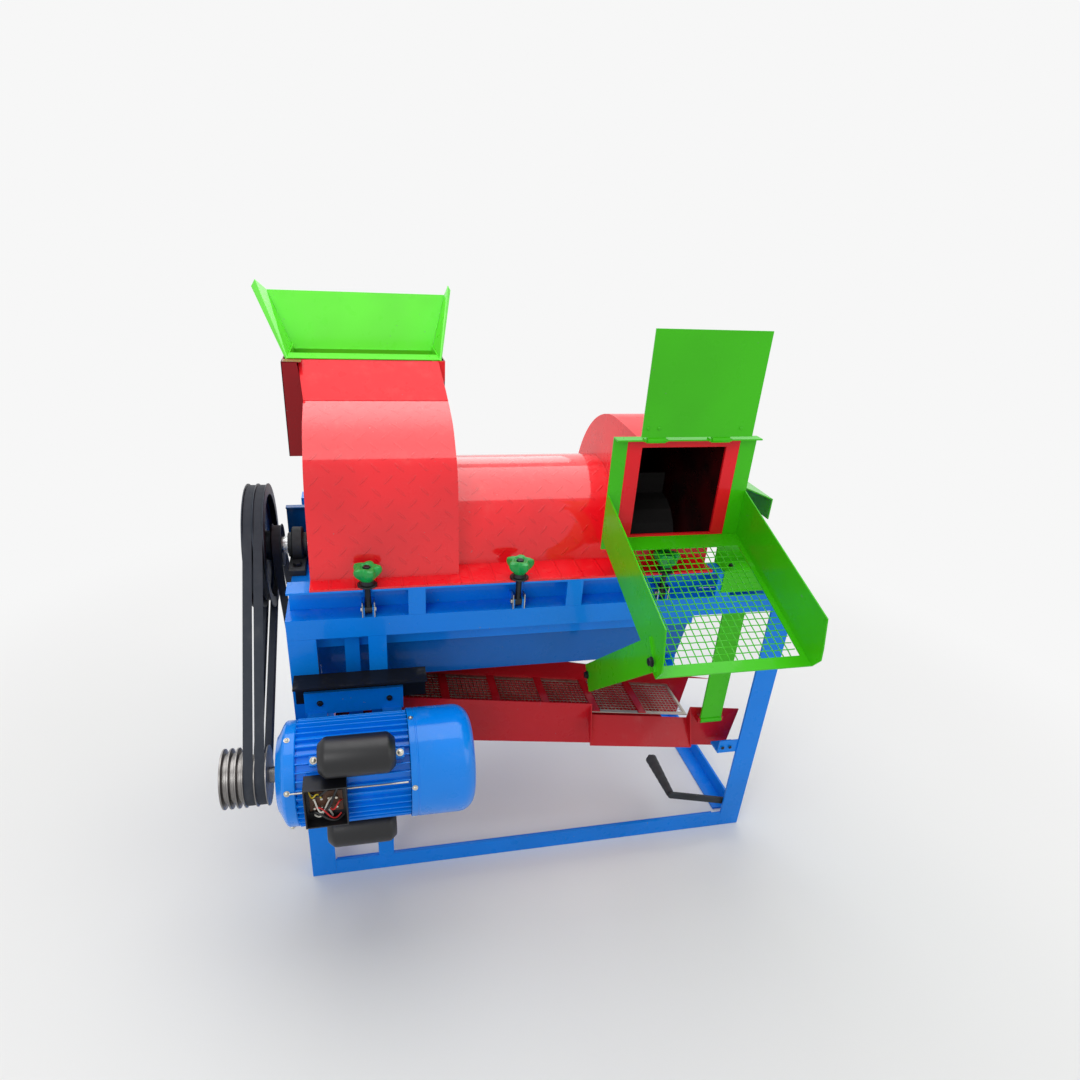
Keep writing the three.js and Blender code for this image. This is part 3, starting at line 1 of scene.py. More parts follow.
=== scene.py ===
# %% [markdown]
# # A millet thresher, dressed for the camera
# The engineering model of the machine is already here: sixty named solids, in metres, at the
# places where they work. This lesson gives each of them its real surface. Flat sheet and angle
# iron keep their solids and only get paint. Rolled sheet, turned iron, belts, wire and knobs
# are drawn again as smooth surfaces, worked out with numpy, and stand exactly where the plain
# solids stood.

# %% Load the machine
import math
import bmesh
import bpy
import numpy as np
from mathutils import Matrix, Vector


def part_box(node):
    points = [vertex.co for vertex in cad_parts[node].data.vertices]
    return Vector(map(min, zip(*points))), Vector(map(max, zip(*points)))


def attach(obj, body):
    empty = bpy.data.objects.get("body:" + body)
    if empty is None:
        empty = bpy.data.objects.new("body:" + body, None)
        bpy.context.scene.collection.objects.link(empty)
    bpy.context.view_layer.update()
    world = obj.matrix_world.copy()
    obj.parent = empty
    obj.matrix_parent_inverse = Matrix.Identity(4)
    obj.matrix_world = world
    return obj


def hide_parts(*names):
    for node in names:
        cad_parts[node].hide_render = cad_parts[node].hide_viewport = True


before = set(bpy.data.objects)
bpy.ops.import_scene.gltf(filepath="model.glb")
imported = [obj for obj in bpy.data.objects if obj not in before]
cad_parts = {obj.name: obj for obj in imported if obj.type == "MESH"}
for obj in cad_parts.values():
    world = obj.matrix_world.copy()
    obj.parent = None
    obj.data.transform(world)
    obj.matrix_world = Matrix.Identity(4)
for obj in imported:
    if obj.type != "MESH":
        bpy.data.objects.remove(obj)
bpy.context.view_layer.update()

CORNER = np.array(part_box("leg_front_left")[0], dtype=float)

# %% [markdown]
# ## Millimetres from one corner
# A workshop drawing measures from one corner of the frame. We do the same: the places and sizes
# of all pieces are in millimetres from the foot of the front left leg, X along the machine, Y to
# the back, Z up. One function turns such points into Blender's metres.

# %% Units
MM = 0.001


def metres(points):
    """World place in metres = frame corner + point in millimetres / 1000."""
    return CORNER + np.asarray(points, dtype=float) * MM


def node_box(name):
    """Lowest and highest corner of a solid, back in millimetres from the frame corner."""
    low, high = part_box(name)
    return (np.array(low) - CORNER) / MM, (np.array(high) - CORNER) / MM


print("the drum lies between", [corner.round(1).tolist() for corner in node_box("threshing_drum")])

# %% [markdown]
# ## A small language for surfaces
# Nearly everything on the machine is one of three shapes: a flat outline with a thickness, a
# section carried along a path, or a profile turned about a shaft. All three are grids of points
# with a row for each step along the path and a column for each point of the section. So one
# function that skins such a grid is enough, and the rest is arithmetic on whole arrays.

# %% Skin a grid of points
def skin(points, wrap_rows=False, wrap_columns=False, caps=True):
    """Faces of a grid P[i, j]: each quad joins (i, j), (i+1, j), (i+1, j+1), (i, j+1),
    with the last row or column joined back to the first where it wraps."""
    points = np.asarray(points, dtype=float)
    rows, columns = points.shape[:2]
    i = np.arange(rows if wrap_rows else rows - 1)[:, None]
    j = np.arange(columns if wrap_columns else columns - 1)[None, :]
    quads = np.stack([i * columns + j, (i + 1) % rows * columns + j,
                      (i + 1) % rows * columns + (j + 1) % columns,
                      i * columns + (j + 1) % columns], axis=-1).reshape(-1, 4)
    faces = quads.tolist()
    if caps and wrap_columns and not wrap_rows:
        faces.append(list(range(columns))[::-1])
        faces.append([(rows - 1) * columns + k for k in range(columns)])
    along = np.linalg.norm(np.diff(points, axis=0, prepend=points[:1]), axis=2).mean(axis=1)
    across = np.linalg.norm(np.diff(points, axis=1, prepend=points[:, :1]), axis=2).mean(axis=0)
    run, rise = np.meshgrid(np.cumsum(along), np.cumsum(across), indexing="ij")
    sheet = np.stack([run, rise, points[..., 0]], axis=-1) * MM
    return points.reshape(-1, 3), faces, sheet.reshape(-1, 3)


print("a grid of 3 by 4 points has", len(skin(np.zeros((3, 4, 3)))[1]), "faces")

# %% [markdown]
# ## Shapes carried along a line
# Folded sheet, flat bars, belts and wires keep one section all along. Blender could extrude a
# section by hand, but a formula puts it exactly where the drawing wants it. An outline goes
# straight, a wall follows two curves, and a wire's circle stays square to its path.

# %% Carried shapes
def prism(outline, axis, low, high):
    """A flat outline (a, b) carried straight along one axis, from low to high.
    The outline's two numbers are the other axes in the order Y Z, X Z or X Y."""
    outline = np.asarray(outline, dtype=float)
    others = [k for k in range(3) if k != axis]
    points = np.zeros((2, len(outline), 3))
    points[:, :, others] = outline
    points[0, :, axis], points[1, :, axis] = low, high
    return skin(points, wrap_columns=True)


def band(inner, outer, axis, low, high, closed=False):
    """A wall between two curves of equally many points, carried from low to high:
    the section at step k is the rectangle on inner[k] and outer[k]."""
    inner, outer = np.asarray(inner, dtype=float), np.asarray(outer, dtype=float)
    others = [k for k in range(3) if k != axis]
    points = np.zeros((len(inner), 4, 3))
    for column, (curve, level) in enumerate(((outer, low), (outer, high), (inner, high), (inner, low))):
        points[:, column, others[0]], points[:, column, others[1]] = curve[:, 0], curve[:, 1]
        points[:, column, axis] = level
    return skin(points, wrap_rows=closed, wrap_columns=True)


def tube(path, radius, sides=10):
    """A round wire: at each point of the path a circle in the plane across the path,
    P = path + radius (side cos a + up sin a)."""
    path = np.asarray(path, dtype=float)
    ahead = np.gradient(path, axis=0)
    ahead /= np.linalg.norm(ahead, axis=1, keepdims=True)
    rough = np.tile([0.31, 0.17, 0.93], (len(path), 1))
    side = np.cross(ahead, rough)
    side /= np.linalg.norm(side, axis=1, keepdims=True)
    up = np.cross(side, ahead)
    angle = np.arange(sides) * 2 * np.pi / sides
    points = (path[:, None] + radius * (np.cos(angle)[None, :, None] * side[:, None]
                                        + np.sin(angle)[None, :, None] * up[:, None]))
    return skin(points, wrap_columns=True)


print("a wire of 2 points has", len(tube([(0, 0, 0), (0, 0, 1)], 1)[1]), "faces")

# %% [markdown]
# ## Shapes from the lathe
# Pulleys, shafts, cans, collars and bolts are round, so each is a profile turned about an axis,
# as on a lathe. Blender's Spin tool could do it, but whole arrays of angles need no clicking.
# Most rings and pins have chamfered rims, and one short function writes that profile.

# %% Turned shapes
def turned(profile, y, z, sides=72, closed=False):
    """A profile (x, r) turned about an axis along X through (y, z):
    P(a) = (x, y + r cos a, z + r sin a)."""
    profile = np.asarray(profile, dtype=float)
    angle = np.arange(sides) * 2 * np.pi / sides
    points = np.zeros((sides, len(profile), 3))
    points[..., 0] = profile[None, :, 0]
    points[..., 1] = y + np.cos(angle)[:, None] * profile[None, :, 1]
    points[..., 2] = z + np.sin(angle)[:, None] * profile[None, :, 1]
    return skin(points, wrap_rows=True, wrap_columns=closed, caps=False)


def upright(profile, x, y, sides=32):
    """A profile (z, r) turned about a vertical axis through (x, y)."""
    points, faces, sheet = turned(profile, 0, 0, sides)
    return np.stack([x + points[:, 1], y + points[:, 2], points[:, 0]], axis=1), faces, sheet


def facing(profile, x, z, sides=32):
    """A profile (y, r) turned about an axis along Y through (x, z)."""
    points, faces, sheet = turned(profile, 0, 0, sides)
    return np.stack([x + points[:, 1], points[:, 0], z + points[:, 2]], axis=1), faces, sheet


def rounded(low, high, bore, radius, edge, fall=None):
    """Profile (x, r) of a ring, or of a pin if the bore is 0. Both rims have a chamfer that is
    edge long and falls by the same amount, or by another if it is given."""
    fall = edge if fall is None else fall
    return [(low, bore), (low, radius - fall), (low + edge, radius), (high - edge, radius),
            (high, radius - fall), (high, bore)]


print("a pin has", len(turned(rounded(0, 10, 0, 3, 0.5), 0, 0, 24)[1]), "faces")

# %% [markdown]
# ## Flat shapes
# The rest is flat: straight bars, plates on any corners in space, and the rectangles and arcs
# that outlines are put together from. Pieces that stand askew are drawn level first and then
# laid in place by one function on all their points.

# %% Bars, plates and arcs
def arc(cy, cz, radius, start, end, count):
    """Points (cy + r cos a, cz + r sin a) for a from start to end."""
    angle = np.linspace(start, end, count)
    return np.stack([cy + radius * np.cos(angle), cz + radius * np.sin(angle)], axis=1)


def rectangle(x0, x1, z0, z1):
    """The four corners of a rectangle, in order."""
    return np.array([(x0, z0), (x1, z0), (x1, z1), (x0, z1)], dtype=float)


def bar(x0, x1, y0, y1, z0, z1):
    """A straight bar of rectangular section."""
    return prism(rectangle(x0, x1, y0, y1), 2, z0, z1)


def plate(corners, thick):
    """A flat plate on any corners in space: the second face is the first one moved by
    thick along the normal (b - a) x (c - a)."""
    corners = np.asarray(corners, dtype=float)
    normal = np.cross(corners[1] - corners[0], corners[2] - corners[0])
    normal /= np.linalg.norm(normal)
    return skin(np.stack([corners, corners + normal * thick]), wrap_columns=True)


def laid(skins, place):
    """The same skins with all their points moved by one function."""
    return [(place(points), faces, sheet) for points, faces, sheet in skins]


print("a bar has", len(bar(0, 1, 0, 1, 0, 1)[1]), "faces")

# %% [markdown]
# ## From arrays to a Blender piece
# A piece is a list of closed skins in one mesh. Doubled points at the poles are merged, skin by
# skin, so that two plates that only touch stay apart. Faces are made to point outwards, and an
# edge stays crisp where two faces meet at more than a set angle. A point attribute called sheet
# keeps the distance along the metal, so that a rolled pattern can follow a bent plate. A narrow
# bevel catches the light along cut edges.

# %% Make a piece
DOUBLED, SPECK = 1e-6, 1e-7    # metres: nearer points are one, and shorter edges go
BEVEL_FROM = math.radians(40)


def piece(name, skins, material, body, replaces=(), crisp=32, bevel=0.0):
    """One mesh object from closed skins, riding on a body of the machine. Names in replaces are
    the solids that it takes the place of, crisp is in degrees and bevel in millimetres."""
    points = np.concatenate([part[0] for part in skins])
    sheets = np.concatenate([part[2] for part in skins])
    faces, start = [], 0
    for part in skins:
        faces += [[start + k for k in face] for face in part[1]]
        start += len(part[0])
    mesh = bpy.data.meshes.new(name)
    mesh.from_pydata(metres(points).tolist(), [], faces)
    mesh.attributes.new("sheet", "FLOAT_VECTOR", "POINT").data.foreach_set("vector", sheets.ravel())
    work = bmesh.new()
    work.from_mesh(mesh)
    corners = list(work.verts)
    ends = np.cumsum([len(part[0]) for part in skins])
    for part, end in zip(skins, ends):
        bmesh.ops.remove_doubles(work, verts=corners[end - len(part[0]):end], dist=DOUBLED)
    bmesh.ops.dissolve_degenerate(work, edges=work.edges, dist=SPECK)
    bmesh.ops.recalc_face_normals(work, faces=work.faces)
    work.to_mesh(mesh)
    work.free()
    mesh.shade_smooth()
    mesh.set_sharp_from_angle(angle=math.radians(crisp))
    obj = bpy.data.objects.new(name, mesh)
    bpy.context.scene.collection.objects.link(obj)
    mesh.materials.append(material)
    if bevel:
        edge = obj.modifiers.new("edge", "BEVEL")
        edge.width, edge.segments, edge.limit_method = bevel * MM, 2, "ANGLE"
        edge.angle_limit = BEVEL_FROM
        edge.harden_normals = True
    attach(obj, body)
    if replaces:
        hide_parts(*replaces)


# %% [markdown]
# ## The camera
# The photograph was taken from in front, a little above the machine and left of its middle.
# Three sets of edges of the frame run to three vanishing points, and these give the lens and the
# turn of the camera. The picture's optical centre is not quite in its middle, which a small lens
# shift repeats. Focal length and optical centre are in pixels of a picture 1080 wide, for a film
# of 36 mm.

# %% Camera
YAW, PITCH, ROLL = math.radians(12.9), math.radians(27.1), math.radians(3.2)
EYE = (146.1, -1111.0, 1300.0)
PICTURE, FOCAL, OPTICAL_X, OPTICAL_Y, FILM = 1080.0, 702.0, 510.0, 575.0, 36.0
ahead = Vector((math.sin(YAW) * math.cos(PITCH), math.cos(YAW) * math.cos(PITCH), -math.sin(PITCH)))
level = Vector((math.cos(YAW), -math.sin(YAW), 0.0))
above = level.cross(ahead)
right = math.cos(ROLL) * level + math.sin(ROLL) * above
up = -math.sin(ROLL) * level + math.cos(ROLL) * above
camera_data = bpy.data.cameras.new("camera")
camera_data.sensor_width = FILM
camera_data.lens = FILM * FOCAL / PICTURE
camera_data.shift_x = (PICTURE / 2 - OPTICAL_X) / PICTURE
camera_data.shift_y = (OPTICAL_Y - PICTURE / 2) / PICTURE
camera_data.clip_start, camera_data.clip_end = 0.05, 60.0
camera = bpy.data.objects.new("camera", camera_data)
turn = Matrix((right, up, -ahead)).transposed().to_4x4()
turn.translation = Vector(metres(EYE).tolist())
camera.matrix_world = turn
bpy.context.scene.collection.objects.link(camera)
bpy.context.scene.camera = camera
print("camera at", [round(v, 3) for v in camera.location], "lens", round(camera_data.lens, 2))

# %% [markdown]
# ## Lamps
# Paint only shows its colour if the light is even. One large lamp from the front left gives
# form, a weaker one from the right keeps the shaded side readable, a wide one overhead draws
# the broad pale band that gloss paint shows on a rolled sheet, and one behind the machine
# lights its far edges. Large lamps were chosen because their shadows have soft borders.

# %% Lamps
scene = bpy.context.scene
scene.view_settings.view_transform = "Standard"


def lamp(name, place, target, size, radiance):
    """A rectangular soft lamp at a place, aimed at a target, both in millimetres, with its two
    sides in metres. Its power is pi * area * radiance, so radiance is how bright its mirror
    image looks."""
    data = bpy.data.lights.new(name, "AREA")
    data.shape, data.size, data.size_y = "RECTANGLE", *size
    data.energy = math.pi * size[0] * size[1] * radiance
    obj = bpy.data.objects.new(name, data)
    obj.location = metres(place).tolist()
    aim = Vector(metres(target).tolist()) - obj.location
    obj.rotation_euler = aim.to_track_quat("-Z", "Y").to_euler()
    scene.collection.objects.link(obj)


MIDDLE = (450, 200, 600)
lamp("key", (-1500, -2600, 2900), MIDDLE, (1.8, 1.8), 4.2)
lamp("side", (3300, -1500, 1900), MIDDLE, (2.0, 2.0), 1.3)
lamp("roof", (450, 820, 3300), MIDDLE, (3.6, 3.0), 2.2)
lamp("back", (300, 3400, 2200), MIDDLE, (2.6, 1.6), 1.4)

# %% [markdown]
# ## Writing materials as sums
# A material in Blender is a graph, but a graph is only an expression. The small class below
# wraps a socket, so that noise * 0.3 + 0.5 adds the two maths nodes by itself. Any other node
# is made by one method that takes its type, its settings and what goes into its sockets.

# %% Sockets with arithmetic
def operation(name, swapped=False):
    """A method that joins a value and its partner, if it has one, in one maths node."""
    def method(self, *partner):
        inputs = (*partner, self) if swapped else (self, *partner)
        return add_node(self.tree, "ShaderNodeMath", {"operation": name}, dict(enumerate(inputs)))
    return method


class Value:
    """One output socket of a node tree, with the usual operators on numbers."""
    __add__ = __radd__ = operation("ADD")
    __sub__ = operation("SUBTRACT")
    __rsub__ = operation("SUBTRACT", swapped=True)
    __mul__ = __rmul__ = operation("MULTIPLY")
    __truediv__ = operation("DIVIDE")
    __rtruediv__ = operation("DIVIDE", swapped=True)
    sin = operation("SINE")
    fraction = operation("FRACT")
    maximum = operation("MAXIMUM")

    def __init__(self, tree, socket):
        self.tree, self.socket = tree, socket

    def ramp(self, low, high):
        """0 below low, 1 above high, with a smooth rise between."""
        return add_node(self.tree, "ShaderNodeMapRange", {"interpolation_type": "SMOOTHSTEP"},
                        {"Value": self, "From Min": low, "From Max": high})


def add_node(tree, kind, settings=None, inputs=None, output=0):
    """A node of a kind, with its settings first and then values or links in its sockets."""
    node = tree.nodes.new(kind)
    for key, value in (settings or {}).items():
        setattr(node, key, value)
    for key, value in (inputs or {}).items():
        if isinstance(value, Value):
            tree.links.new(value.socket, node.inputs[key])
        else:
            node.inputs[key].default_value = value
    return Value(tree, node.outputs[output] if node.outputs else None)


print("a value can be asked for its", [word for word in vars(Value) if not word.startswith("_")])

# %% [markdown]
# ## Colours
# A colour picker counts from 0 to 255 in steps that look even, but a shader adds up light. One
# formula turns the first into the second, and Python works it out before any node is made.

# %% Colours
def colour(red, green, blue):
    """A colour given on a 0 to 255 scale, as the linear light a shader wants."""
    part = np.array([red, green, blue]) / 255.0
    line = np.where(part <= 0.04045, part / 12.92, ((part + 0.055) / 1.055) ** 2.4)
    return (*line.tolist(), 1.0)


print("middle grey as light:", round(colour(128, 128, 128)[0], 4))

# %% [markdown]
# ## A finish being written
# Every finish starts as Blender's standard shader with a few plain numbers. What changes over
# the surface is added afterwards: noise, colours mixed by a mask, and bumps that build on each
# other. All of it is measured in the object's own coordinates, in metres.

# %% A finish
class Finish:
    """A material being written: its tree, its place on the object and its final shader."""

    def __init__(self, name, roughness=0.5, metallic=0.0, coat=0.0, coat_roughness=0.1, mirror=0.5):
        self.material = bpy.data.materials.new(name)
        self.material.use_nodes = True
        self.tree = self.material.node_tree
        self.shader = self.tree.nodes["Principled BSDF"]
        for socket, value in (("Roughness", roughness), ("Metallic", metallic), ("Coat Weight", coat),
                              ("Coat Roughness", coat_roughness), ("Specular IOR Level", mirror)):
            self.shader.inputs[socket].default_value = value
        self.place = self.node("ShaderNodeTexCoord", output="Object")
        self.height = None

    def node(self, kind, settings=None, inputs=None, output=0):
        """A node in this finish's own tree."""
        return add_node(self.tree, kind, settings, inputs, output)

    def sheet(self):
        """Distance along the metal, which the piece keeps on its points."""
        return self.node("ShaderNodeAttribute", {"attribute_name": "sheet"}, output="Vector")

    def noise(self, scale, detail=3.0, rough=0.5):
        """Soft patches: scale counts them in a metre, detail adds finer and finer ones."""
        return self.node("ShaderNodeTexNoise", None, {"Vector": self.place, "Scale": scale,
                                                      "Detail": detail, "Roughness": rough})

    def split(self, vector):
        """The three numbers of a vector."""
        node = self.node("ShaderNodeSeparateXYZ", None, {0: vector}).socket.node
        return [Value(self.tree, out) for out in node.outputs]

    def mix(self, first, second, factor):
        """Colour between two colours, by a mask. The colour sockets of this node have the
        numbers 6 and 7, and its colour comes out at number 2."""
        return self.node("ShaderNodeMix", {"data_type": "RGBA"}, {6: first, 7: second, 0: factor}, 2)

    def set(self, **sockets):
        """Values or links for sockets of the shader, so base_color means Base Color."""
        for key, value in sockets.items():
            socket = self.shader.inputs[key.replace("_", " ").title()]
            if isinstance(value, Value):
                self.tree.links.new(value.socket, socket)
            else:
                socket.default_value = value
        return self

    def bump(self, height, distance):
        """Raise the surface by a height map, in metres at full height."""
        inputs = {"Height": height, "Distance": distance, "Strength": 1.0}
        if self.height is not None:
            inputs["Normal"] = self.height
        self.height = self.node("ShaderNodeBump", None, inputs)
        return self.set(normal=self.height)


print("a finish can be told to", [word for word in vars(Finish) if not word.startswith("_")])

# %% [markdown]
# ## World and floor
# The world lights the machine weakly from all sides. The camera and mirror-like paint see it
# nearly white, which comes from a switch on the kind of ray and not from more light on the
# machine. The floor is plain and pale, and far out it glows as bright as the world behind it,
# so that no horizon shows.

# %% World and floor
FILL, BACKDROP = 0.4, 0.93
HORIZON = (0.6, 4.0)    # squares of the distances in metres between which the floor fades
REACH, BELOW = 60, -0.0005
world = bpy.data.worlds.new("studio")
scene.world = world
world.use_nodes = True
sky = world.node_tree
sky.nodes.clear()
rays = sky.nodes.new("ShaderNodeLightPath")
camera_ray, glossy_ray, through_ray = (
    Value(sky, rays.outputs["Is %s Ray" % kind]) for kind in ("Camera", "Glossy", "Transmission"))
seen = camera_ray.maximum(glossy_ray).maximum(through_ray)
shine = add_node(sky, "ShaderNodeBackground", None,
                 {"Color": (1.0, 1.0, 1.0, 1.0), "Strength": seen * (BACKDROP - FILL) + FILL})
add_node(sky, "ShaderNodeOutputWorld", None, {"Surface": shine})

pale = Finish("pale_floor", roughness=0.8)
pale.set(base_color=pale.mix(colour(234, 234, 233), colour(231, 231, 230), pale.noise(1.4, 4.0)))
floor_x, floor_y, _ = pale.split(pale.place)
away = (floor_x * floor_x + floor_y * floor_y).ramp(*HORIZON)
glow = pale.node("ShaderNodeEmission", None, {"Color": (BACKDROP, BACKDROP, BACKDROP, 1.0)})
near = Value(pale.tree, pale.shader.outputs[0])
both = pale.node("ShaderNodeMixShader", None, {0: away, 1: near, 2: glow})
pale.tree.links.new(both.socket, pale.tree.nodes["Material Output"].inputs["Surface"])
floor_mesh = bpy.data.meshes.new("floor")
floor_mesh.from_pydata([(-REACH, -REACH, BELOW), (REACH, -REACH, BELOW), (REACH, REACH, BELOW),
                        (-REACH, REACH, BELOW)], [], [(0, 1, 2, 3)])
floor = bpy.data.objects.new("floor", floor_mesh)
floor_mesh.materials.append(pale.material)
scene.collection.objects.link(floor)
print("floor:", 2 * REACH, "metres wide")

# %% [markdown]
# ## Enamel paint
# Frame, sheets and motor are sprayed with thick gloss enamel. Seen close it is never one colour:
# it is a little paler here and darker there, with fine dust on faces that look up, small chips,
# and the faint orange peel of a spray gun. Broad dents in thin sheet bend the reflections, so
# the height map has a slow part and a fine part.

# %% Enamel
# The third red is the cover's red darkened as painted shade for the walls of the feed throat.
RED, TRAY_RED, PAINTED_SHADE_RED = (238, 20, 34), (190, 24, 36), (140, 8, 20)
BLUE, SHEET_BLUE, MOTOR_BLUE = (4, 130, 236), (4, 100, 186), (2, 134, 240)
GREEN, HOPPER_GREEN, RAIL_BLACK = (64, 192, 12), (96, 230, 42), (22, 23, 26)
DUST, BARE_STEEL = (206, 200, 186), (120, 122, 125)


def enamel(name, base, dents=0.0009, wear=0.012, roughness=0.26, coat=0.25):
    """Gloss paint: two close shades of one colour, dust on upward faces, rare small chips.
    The height of the dents is in metres, and more wear makes more chips."""
    paint = Finish(name, roughness=roughness, coat=coat, coat_roughness=0.06, mirror=0.12)
    slow = paint.noise(5.5, 2.0)
    body = paint.mix(colour(*base), colour(*(np.array(base) * 0.94)), slow.ramp(0.35, 0.75))
    facing_up = paint.split(paint.node("ShaderNodeNewGeometry", output="Normal"))[2]
    dust = facing_up.ramp(0.4, 1.0) * paint.noise(24.0, 5.0, 0.65).ramp(0.5, 0.85) * 0.1
    body = paint.mix(body, colour(*DUST), dust)
    spots = paint.noise(150.0, 2.0, 0.6).ramp(0.745 - wear, 0.76 - wear)
    chips = spots * paint.noise(9.0, 2.0).ramp(0.5, 0.62)
    body = paint.mix(body, colour(*BARE_STEEL), chips)
    paint.set(base_color=body, roughness=paint.noise(40.0, 3.0) * 0.14 + (roughness - 0.04) + dust)
    paint.bump(paint.noise(7.0, 1.0), dents)
    paint.bump(paint.noise(420.0, 1.0), 0.00006)
    return paint.bump(1.0 - chips, 0.00012)


finishes = {
    "frame_blue": enamel("frame_blue", BLUE, dents=0.0003),
    "sheet_blue": enamel("sheet_blue", SHEET_BLUE, dents=0.0016),
    "throat_painted_shade": enamel("throat_painted_shade", PAINTED_SHADE_RED),
    "tray_red": enamel("tray_red", TRAY_RED, wear=0.02),
    "chute_green": enamel("chute_green", GREEN, dents=0.0014),
    "hopper_green": enamel("hopper_green", HOPPER_GREEN, dents=0.0016),
    "motor_blue": enamel("motor_blue", MOTOR_BLUE, dents=0.0001, wear=0.004, coat=0.5),
    "rail_black": enamel("rail_black", RAIL_BLACK, dents=0.0002, wear=0.03, roughness=0.4, coat=0.1),
}
print("enamels:", sorted(finishes))

# %% [markdown]
# ## Painted shade inside the housing
# The inner faces of the discharge housing are painted a mottled near black that stands in for
# shade, while its outer faces keep the plain red. Two materials would need the sheet to be cut
# in two. It is simpler to ask of each point whether it lies inside, in a mask whose limits run
# through the thickness of the sheet, where no one sees them.

# %% Inside and outside of the discharge housing
SCROLL_AT, SCROLL_RADIUS, WALL = (174.0, 728.0), 232.0, 3.0
HOUSE_LEFT, HOUSE_RIGHT, HOUSE_FRONT, ROOF_FRONT = 634.0, 804.0, 36.0, 955.0
ROOF_SLOPE = 5 / 138


def shade_painted(name, base, inside):
    """Enamel with painted shade inside a housing, a mottled near black on the inner faces: inside
    is a function that turns the three coordinates into a mask, 1 on the inner faces and 0 on the
    outer ones."""
    paint = enamel(name, base, coat=0.3)
    enamel_colour = Value(paint.tree, paint.shader.inputs["Base Color"].links[0].from_socket)
    # painted shade: a mottled near black that stands in for the shade inside the housing
    painted_shade = paint.mix(colour(70, 8, 12), colour(24, 12, 12), paint.noise(12.0, 4.0).ramp(0.3, 0.7))
    return paint.set(base_color=paint.mix(enamel_colour, painted_shade, inside(*paint.split(paint.place))))


def in_discharge(x, y, z):
    """Between the two end walls, behind the front wall, below the sloping roof and nearer to
    the scroll's axis than its sheet: each condition is a narrow ramp, and their product is
    the mask."""
    left, front, _ = metres((HOUSE_LEFT + WALL / 2, HOUSE_FRONT + 2, 0)).tolist()
    right_side, axis_y, axis_z = metres((HOUSE_RIGHT - WALL / 2, *SCROLL_AT)).tolist()
    beside = x.ramp(left, left + MM) * (1.0 - x.ramp(right_side - MM, right_side))
    lid = metres((0, 0, ROOF_FRONT - 1.8 - HOUSE_FRONT * ROOF_SLOPE))[2] - float(CORNER[1]) * ROOF_SLOPE
    below = 1.0 - (z - y * ROOF_SLOPE).ramp(lid, lid + MM)
    up_y, up_z = (y - axis_y).maximum(0.0), (z - axis_z).maximum(0.0)
    reach = up_y * up_y + up_z * up_z
    sheet_from, sheet_to = (SCROLL_RADIUS - 2) * MM, (SCROLL_RADIUS - 1.2) * MM
    return beside * below * y.ramp(front, front + MM) * (1.0 - reach.ramp(sheet_from ** 2, sheet_to ** 2))


finishes["cover_red"] = shade_painted("cover_red", RED, in_discharge)
print("nodes in the sooted enamel:", len(finishes["cover_red"].tree.nodes))

# %% [markdown]
# ## Tread plate
# The cover is rolled from tread plate, the sheet with small raised strokes that stops a boot
# from slipping. The strokes stand in a square raster and lean to the left and the right in
# turn. The pattern is measured along the metal and not in space, so it bends with the sheet.

# %% Tread plate
STROKE_PITCH, HALF_LENGTH_SQUARED, HALF_WIDTH_SQUARED, DIAGONAL = 0.042, 0.09, 0.0030, 0.7071


def tread(name, base):
    """Enamel over rolled strokes, which stand on two square rasters, one in the middle of the
    other, and lean to opposite sides. A stroke is a long thin ellipse: its height rises
    smoothly where (along / half length)^2 + (aside / half width)^2 < 1, with all four in
    shares of the pitch, which itself is in metres."""
    paint = enamel(name, base, dents=0.0011, coat=1.0)
    run, _, across = paint.split(paint.sheet())
    strokes = []
    for shift, lean in ((0.0, 1.0), (0.5, -1.0)):
        a = (run / STROKE_PITCH + shift).fraction() - 0.5
        b = (across / STROKE_PITCH + shift).fraction() - 0.5
        along, aside = (a + b * lean) * DIAGONAL, (b - a * lean) * DIAGONAL
        far = along * along / HALF_LENGTH_SQUARED + aside * aside / HALF_WIDTH_SQUARED
        strokes.append(1.0 - far.ramp(0.3, 1.0))
    return paint.bump(strokes[0].maximum(strokes[1]), 0.001)


finishes["tread_red"] = tread("tread_red", RED)
print("strokes per metre in one raster:", round(1 / STROKE_PITCH, 1))

# %% [markdown]
# ## Bare metal
# Turned steel has fine rings about its axis, cast iron has a sandy skin, and zinc has large soft
# crystals. They are one finish with other numbers: a noise at the right scale in roughness and
# in height, a broader one in colour, and waves along the axis where the lathe left its rings.

# %% Bare metal
RING_WAVES = 5200.0    # radians in a metre


def metal(name, base, roughness, grain, depth, metallic=1.0, rust=0.0):
    """Bare metal: a fine grain in height and roughness, and rust in patches if asked."""
    bare = Finish(name, roughness=roughness, metallic=metallic)
    fine = bare.noise(grain, 4.0, 0.6)
    darker = colour(*(np.array(base) * 0.72))
    body = bare.mix(colour(*base), darker, bare.noise(18.0, 4.0).ramp(0.3, 0.8))
    if rust:
        patches = bare.noise(34.0, 6.0, 0.7).ramp(0.72 - rust, 0.8) * 0.7
        body = bare.mix(body, colour(112, 62, 34), patches)
    bare.set(base_color=body, roughness=fine * 0.22 + roughness - 0.08)
    return bare.bump(fine, depth)


def turned_steel(name, base, roughness=0.24):
    """Steel from the lathe: rings across X, whose height is a sine of x * RING_WAVES."""
    bare = metal(name, base, roughness, 260.0, 0.00002)
    x = bare.split(bare.place)[0]
    return bare.bump((x * RING_WAVES).sin() * 0.5 + 0.5, 0.00003)


print("lathe rings in a metre:", round(RING_WAVES / (2 * math.pi)))

# %% [markdown]
# ## Plastic and rubber
# Knobs, cans and leads are moulded plastic, which is nearly one even colour. The rubber of a
# belt is dull, with a grey bloom of dust and the print of its cloth. Neither mirrors as metal
# does, so each is a short function of its own.

# %% Plastic and rubber
RUBBER, RUBBER_DUST = (34, 40, 50), (84, 86, 90)


